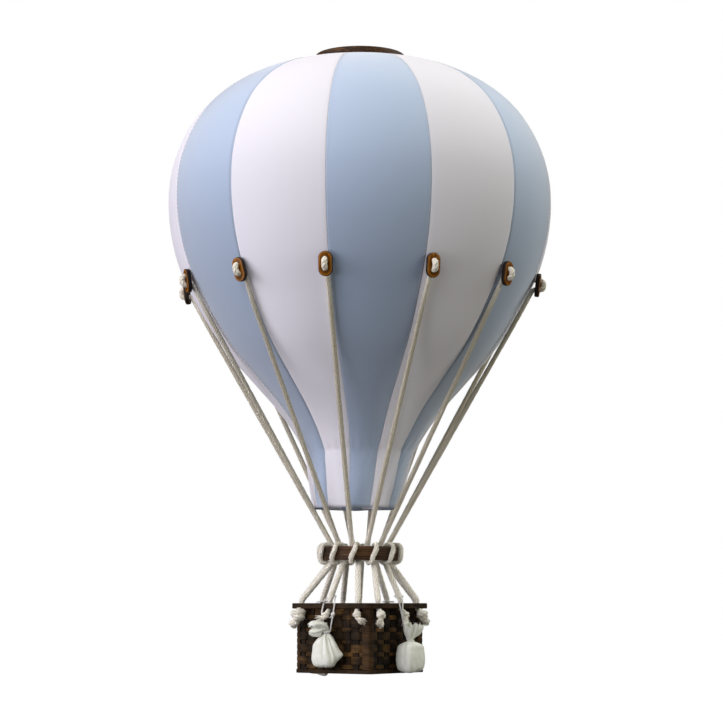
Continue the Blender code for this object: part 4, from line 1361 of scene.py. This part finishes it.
# Fills the bag: air pressure from inside, held at the neck, at a scale that the solver suits
def fill_sandbag(mesh, tall):
    mesh.transform(Matrix.Scale(BAG_SCALE, 4))
    holder = link_new("bag_filling", mesh)
    group = holder.vertex_groups.new(name="held")
    start = [v.co.copy() for v in mesh.vertices]
    held = [v.index for v in mesh.vertices if v.co.z > tall * BAG_SCALE * HELD_ABOVE]
    group.add(held, 1.0, "REPLACE")
    cloth = holder.modifiers.new("Cloth", "CLOTH")
    cloth.settings.vertex_group_mass = "held"
    cloth.settings.use_pressure = True
    cloth.settings.uniform_pressure_force = BAG_PRESSURE
    cloth.settings.effector_weights.gravity = 0.0
    cloth.settings.bending_stiffness = BAG_STIFFNESS
    cloth.point_cache.frame_end = BAG_FRAMES
    for frame_number in range(1, BAG_FRAMES + 1):
        bpy.context.scene.frame_set(frame_number)
    depsgraph = bpy.context.evaluated_depsgraph_get()
    filled = holder.evaluated_get(depsgraph).data
    cap = BAG_CAP * BAG_SCALE
    for place, moved in zip(start, filled.vertices):
        shift = moved.co - place
        if shift.length > cap:
            shift *= cap / shift.length
        place += shift
    for vert, place in zip(mesh.vertices, start):
        vert.co = place
    bpy.data.objects.remove(holder)
    mesh.transform(Matrix.Scale(1.0 / BAG_SCALE, 4))


# Bends the gathered cloth over towards an azimuth
def flop_ruffle(mesh, tall, azimuth, bend):
    lean = Vector((cos(azimuth), sin(azimuth), 0.0))
    for vert in mesh.vertices:
        above = vert.co.z - tall
        if above > 0.0:
            bent = min(above, RUFFLE_BEND)
            angle = bend * bent / RUFFLE_BEND
            middle = UP * sin(angle) + lean * (1.0 - cos(angle))
            middle *= RUFFLE_BEND / bend
            middle += (UP * cos(angle) + lean * sin(angle)) * (above - bent)
            flat = vert.co.xy.to_3d()
            tipped = (lean * (cos(angle) - 1.0) - UP * sin(angle)) * flat.dot(lean)
            vert.co = UP * tall + middle + flat + tipped


# Loose threads along the cut edge, carrying on outwards from the cloth
def build_bag_fringe(name, mesh, edge, reach, material):
    rng = Random(160 + len(name))
    lines = []
    for at_edge, below in edge:
        start = mesh.vertices[at_edge].co
        way = (start - mesh.vertices[below].co).normalized()
        way += Vector([rng.uniform(-0.6, 0.6) for _ in range(3)])
        curl = Vector([rng.uniform(-0.2, 0.2) for _ in range(3)]) * MM
        length = rng.uniform(0.3, 1.0) * reach * MM
        line = [start - way * FRINGE_INSIDE, start + way * length * 0.5,
                start + way * length + curl]
        lines.append([(*point, FRINGE_RADIUS) for point in line])
    add_tubes(f"bag_fringe_{name}", lines, 4, material, "cotton_bag",
              body=f"swinging_bag_{name}")


def build_sandbags(calico, thread):
    rim_drop = GAP + BAG_CORD_RADIUS
    for side, row in enumerate(SANDBAGS):
        name, neck, bottom, half_width, half_depth, form, lean, bend, _, shift = row
        form = BAG_FORMS[form]
        tall = (bottom - neck) * MM
        wall_back = RIM_OUTER_HALF + rim_drop - BASKET_HALF
        centre_out = (half_depth + 2.0 * GAP / MM) * MM - wall_back
        bm, edge = sandbag_form(side, tall, half_width * MM, half_depth * MM, form)
        mesh = finish_mesh(f"bag_filled_{name}", bm, 180)
        fill_sandbag(mesh, tall)
        fold_sandbag(mesh, tall, form)
        for vert in mesh.vertices:
            vert.co.y = min(vert.co.y, half_depth * MM)
            vert.co.z = max(vert.co.z, 0.0)
        flop_ruffle(mesh, tall, radians(lean), radians(bend))
        place = bag_frame(side) @ Matrix.Translation((shift * MM, -centre_out,
                                                      -bottom * MM - rim_drop))
        mesh.transform(place)
        build_bag_fringe(name, mesh, edge, form["fringe"], thread)
        bag = add_piece(f"bag_filled_{name}", mesh, calico, "cotton_bag",
                        body=f"swinging_bag_{name}", replaces=(f"sandbag_{name}",))
        add_modifier(bag, "SUBSURF", levels=1, render_levels=1)
        add_modifier(bag, "SOLIDIFY", thickness=BAG_CLOTH, offset=-1.0)
        build_bag_cord(side, neck * MM + rim_drop, centre_out, thread)


# A small knot tied in a cord, with its two short tails
def cord_knot_lines(centre, axis, out, size):
    knot, end = knot_points(centre, axis, out, size)
    routes = [[(*point, radius) for point, radius in knot]]
    side = axis.cross(out).normalized()
    for lean in (-0.8, 0.6):
        way = (side * lean + out * 0.4 - axis).normalized()
        tip = end + way * CORD_TAIL + out * 0.3 * MM
        routes.append([(*(end + axis * 0.5 * MM), BAG_CORD_RADIUS * 0.8),
                       (*tip, BAG_CORD_RADIUS * 0.7)])
    return [line for route in routes
            for line in laid_strands(resampled(route, CORD_KNOT_STEP), 2, CORD_STRAND_SHARE)]


# Two strands down from the rim, past the rope's knot, and one turn round the front of the
# bag's neck
def build_bag_cord(side, neck, centre_out, material):
    name, *_, top_shift, neck_shift = SANDBAGS[side]
    turn = BAG_NECK_RADIUS + GAP + BAG_CORD_RADIUS
    at_rim = Vector((top_shift * MM, 0.0, -(BAG_CORD_RADIUS + GAP)))
    at_neck = Vector((neck_shift * MM, -centre_out, -neck))
    ends = {}
    for strand in (-1.0, 1.0):
        rim_end = at_rim + Vector((strand * BAG_CORD_SPREADS[side], 0.0, 0.0))
        meets = at_neck + Vector((strand * turn, turn * 0.6, CORD_MEETS))
        beside_knot = rim_end.lerp(meets, KNOT_DEPTH / neck)
        if abs(beside_knot.x) < KNOT_CLEARANCE:
            beside_knot.x = copysign(KNOT_CLEARANCE, beside_knot.x)
        ends[strand] = (rim_end, beside_knot, meets)
    points = list(ends[-1.0])
    for step in range(13):
        angle = radians(160 + 220 * step / 12)
        points.append(at_neck + Vector((turn * cos(angle), turn * sin(angle), 0.0)))
    points += ends[1.0][::-1]
    place = bag_frame(side)
    lines = laid_cord([place @ point for point in points])
    out = -place.col[1].to_3d()
    for strand, share, size in CORD_KNOTS[side]:
        top, _, low = [place @ point for point in ends[strand]]
        lines += cord_knot_lines(top.lerp(low, share), (top - low).normalized(), out, size)
    add_tubes(f"cord_laid_{name}", lines, 6, material, "cotton_rope",
              body=f"swinging_bag_{name}", replaces=(f"bag_cord_{name}",))


# Where the rope through a side's middle hole is at a height above the rim's top
def rope_above_rim(side, height):
    leaves_hoop = polar(HOOP_INNER - WRAP_SIDE_RADIUS, seam_azimuth(3 * side) + WRAP_HALF_ANGLE,
                        HOOP_TOP + HOOP_HEIGHT)
    low = 1.5 * MM
    foot = side_point(side, ROPE_HOLE_LINE, BASKET_SIDES[side][2][1] * MM, RIM_TOP - low)
    return foot.lerp(leaves_hoop, (height - low) / (leaves_hoop.z - foot.z))


# The fixed part of the bag's cord: up from the rim's edge and round the rope's foot
def build_bag_hitches(material):
    loop = ROPE_RADIUS + GAP + BAG_CORD_RADIUS
    for side, (name, *_, top_shift, _) in enumerate(SANDBAGS):
        place = bag_frame(side)
        along = place.col[0].to_3d()
        inward = place.col[1].to_3d()
        ends = [place @ Vector((top_shift * MM + strand * BAG_CORD_SPREADS[side], -0.2 * MM, 0.0))
                for strand in (-1.0, 1.0)]
        points = [ends[0]]
        steps = int(HITCH_TURNS[side] / 15.0)
        for step in range(steps + 1):
            share = step / steps
            angle = radians(180.0 - share * HITCH_TURNS[side])
            height = HITCH_STARTS[side] * (1.0 + HITCH_RISE * sin(pi * share))
            around = along * cos(angle) + inward * sin(angle)
            points.append(rope_above_rim(side, height) + around * loop)
        add_tubes(f"hitch_laid_{name}", laid_cord([*points, ends[1]]), 6, material,
                  "cotton_rope", replaces=(f"bag_hitch_{name}",))


def add_camera():
    data = bpy.data.cameras.new("camera")
    data.lens = FOCAL_PIXELS / PHOTO_HEIGHT * data.sensor_width
    data.clip_start = 0.05
    camera = link_new("camera", data)
    camera.location = radial(CAMERA_AZIMUTH) * CAMERA_DISTANCE
    camera.location += radial(CAMERA_AZIMUTH + 90.0) * CAMERA_SIDE
    camera.location.z = CAMERA_HEIGHT
    camera.rotation_euler = (radians(90.0 + CAMERA_PITCH), 0.0, radians(CAMERA_AZIMUTH))
    bpy.context.scene.camera = camera


def add_light(name, azimuth, elevation, distance, size, energy, colour, beam=180.0,
              aim=LIT_HEIGHT):
    data = bpy.data.lights.new(name, "AREA")
    data.shape = "DISK"
    data.size = size
    data.energy = energy
    data.spread = radians(beam)
    data.color = linear(colour)[:3]
    light = link_new(name, data)
    up = radians(elevation)
    offset = radial(azimuth) * cos(up) + Vector((0.0, 0.0, sin(up)))
    light.location = Vector((0.0, 0.0, aim)) + offset * distance
    light.rotation_euler = offset.to_track_quat("Z", "Y").to_euler()
    light.visible_camera = False


# White all round to the camera, and a weak even light to everything else
def add_surroundings():
    world = bpy.data.worlds.new("studio")
    world.use_nodes = True
    bpy.context.scene.world = world
    tree = world.node_tree
    tree.nodes.clear()
    seen = node(tree, "LightPath", output="Is Camera Ray")
    fill = node(tree, "Background", {"Color": linear("#fbfaf8"), "Strength": AMBIENT_LIGHT})
    white = node(tree, "Background", {"Color": linear("#ffffff")})
    mixed = node(tree, "MixShader", {0: seen, 1: fill, 2: white})
    node(tree, "OutputWorld", {"Surface": mixed})
    bpy.context.scene.view_settings.view_transform = "Standard"


def add_floor():
    bm = bmesh.new()
    bmesh.ops.create_circle(bm, cap_ends=True, segments=96, radius=FLOOR_RADIUS)
    bmesh.ops.translate(bm, verts=bm.verts, vec=(0.0, 0.0, FLOOR_HEIGHT))
    floor = link_new("studio_floor", finish_mesh("studio_floor", bm))
    floor.data.materials.append(studio_floor_paint())
    floor.visible_diffuse = False
    floor.visible_glossy = False
    floor.visible_shadow = False


def main():
    add_camera()
    add_surroundings()
    add_floor()
    for light in LIGHTS:
        add_light(*light)
    # The blue is painted lighter at the crown and skirt and darker low on the belly, and the
    # white a little darker at the crown: painted highlight and painted shade
    blue = dyed_cotton("blue_dyed_cotton", "#b5c7df", "#aec0d9", 0.9, (
        (0.07, "#f1f1f1"), (0.16, "#dbdbdb"), (0.41, "#dedede"), (0.57, "#e5e5e5"),
        (0.7, "#f7f7f7"), (0.88, "#ffffff")))
    white = dyed_cotton("lilac_white_cotton", "#f1eff5", "#ebe9f1", 0.12, (
        (0.4, "#ffffff"), (0.62, "#f5f5f5")))
    # Rope colours: unshaded, then with painted shade for the run under the envelope, each pair as
    # hollow and crown, the hollow darker with painted shade
    rope_cotton = undyed_cotton_rope("undyed_cotton_rope", ("#d6cdae", "#f8f4e9"),
                                     ("#9f977f", "#cfc8b4"), 5, 9.0 * MM)
    cord_cotton = undyed_cotton_rope("bleached_cotton_cord", ("#dcd9d0", "#f6f4f0"),
                                     ("#dcd9d0", "#f6f4f0"), 3, 4.0 * MM)
    birch = stained_birch("stained_birch_board", "Object", (25.0, 700.0, 1400.0))
    turned_birch = stained_birch("stained_birch_hoop", "UV", (25.0, 1400.0, 1.0))
    rattan = stained_rattan("stained_rattan", (
        (0.3, "#100b06"), (0.5, "#251b10"), (0.64, "#48341a"), (0.78, "#775730")))
    worn_rattan = stained_rattan("worn_stained_rattan", (
        (0.3, "#1c150b"), (0.5, "#3a2916"), (0.64, "#583e22"), (0.78, "#785430")))
    build_crown_disc(birch)
    build_hanging_eye(drawn_brass())
    build_envelope((white, "cloth_white"), (blue, "cloth_blue"))
    build_seam_stitches(sewing_thread())
    build_mouth_piping(corded_edge())
    build_toggles(varnished_beech())
    for index in range(GORE_COUNT):
        build_rope(index, rope_cotton)
    build_load_hoop(turned_birch)
    build_basket_rim(worn_rattan)
    build_basket_walls(rattan)
    build_corner_posts(worn_rattan)
    build_foot_band(worn_rattan)
    for material_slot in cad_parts["basket_floor"].material_slots:
        material_slot.material = birch
    build_sandbags(undyed_calico(), cord_cotton)
    build_bag_hitches(cord_cotton)


main()
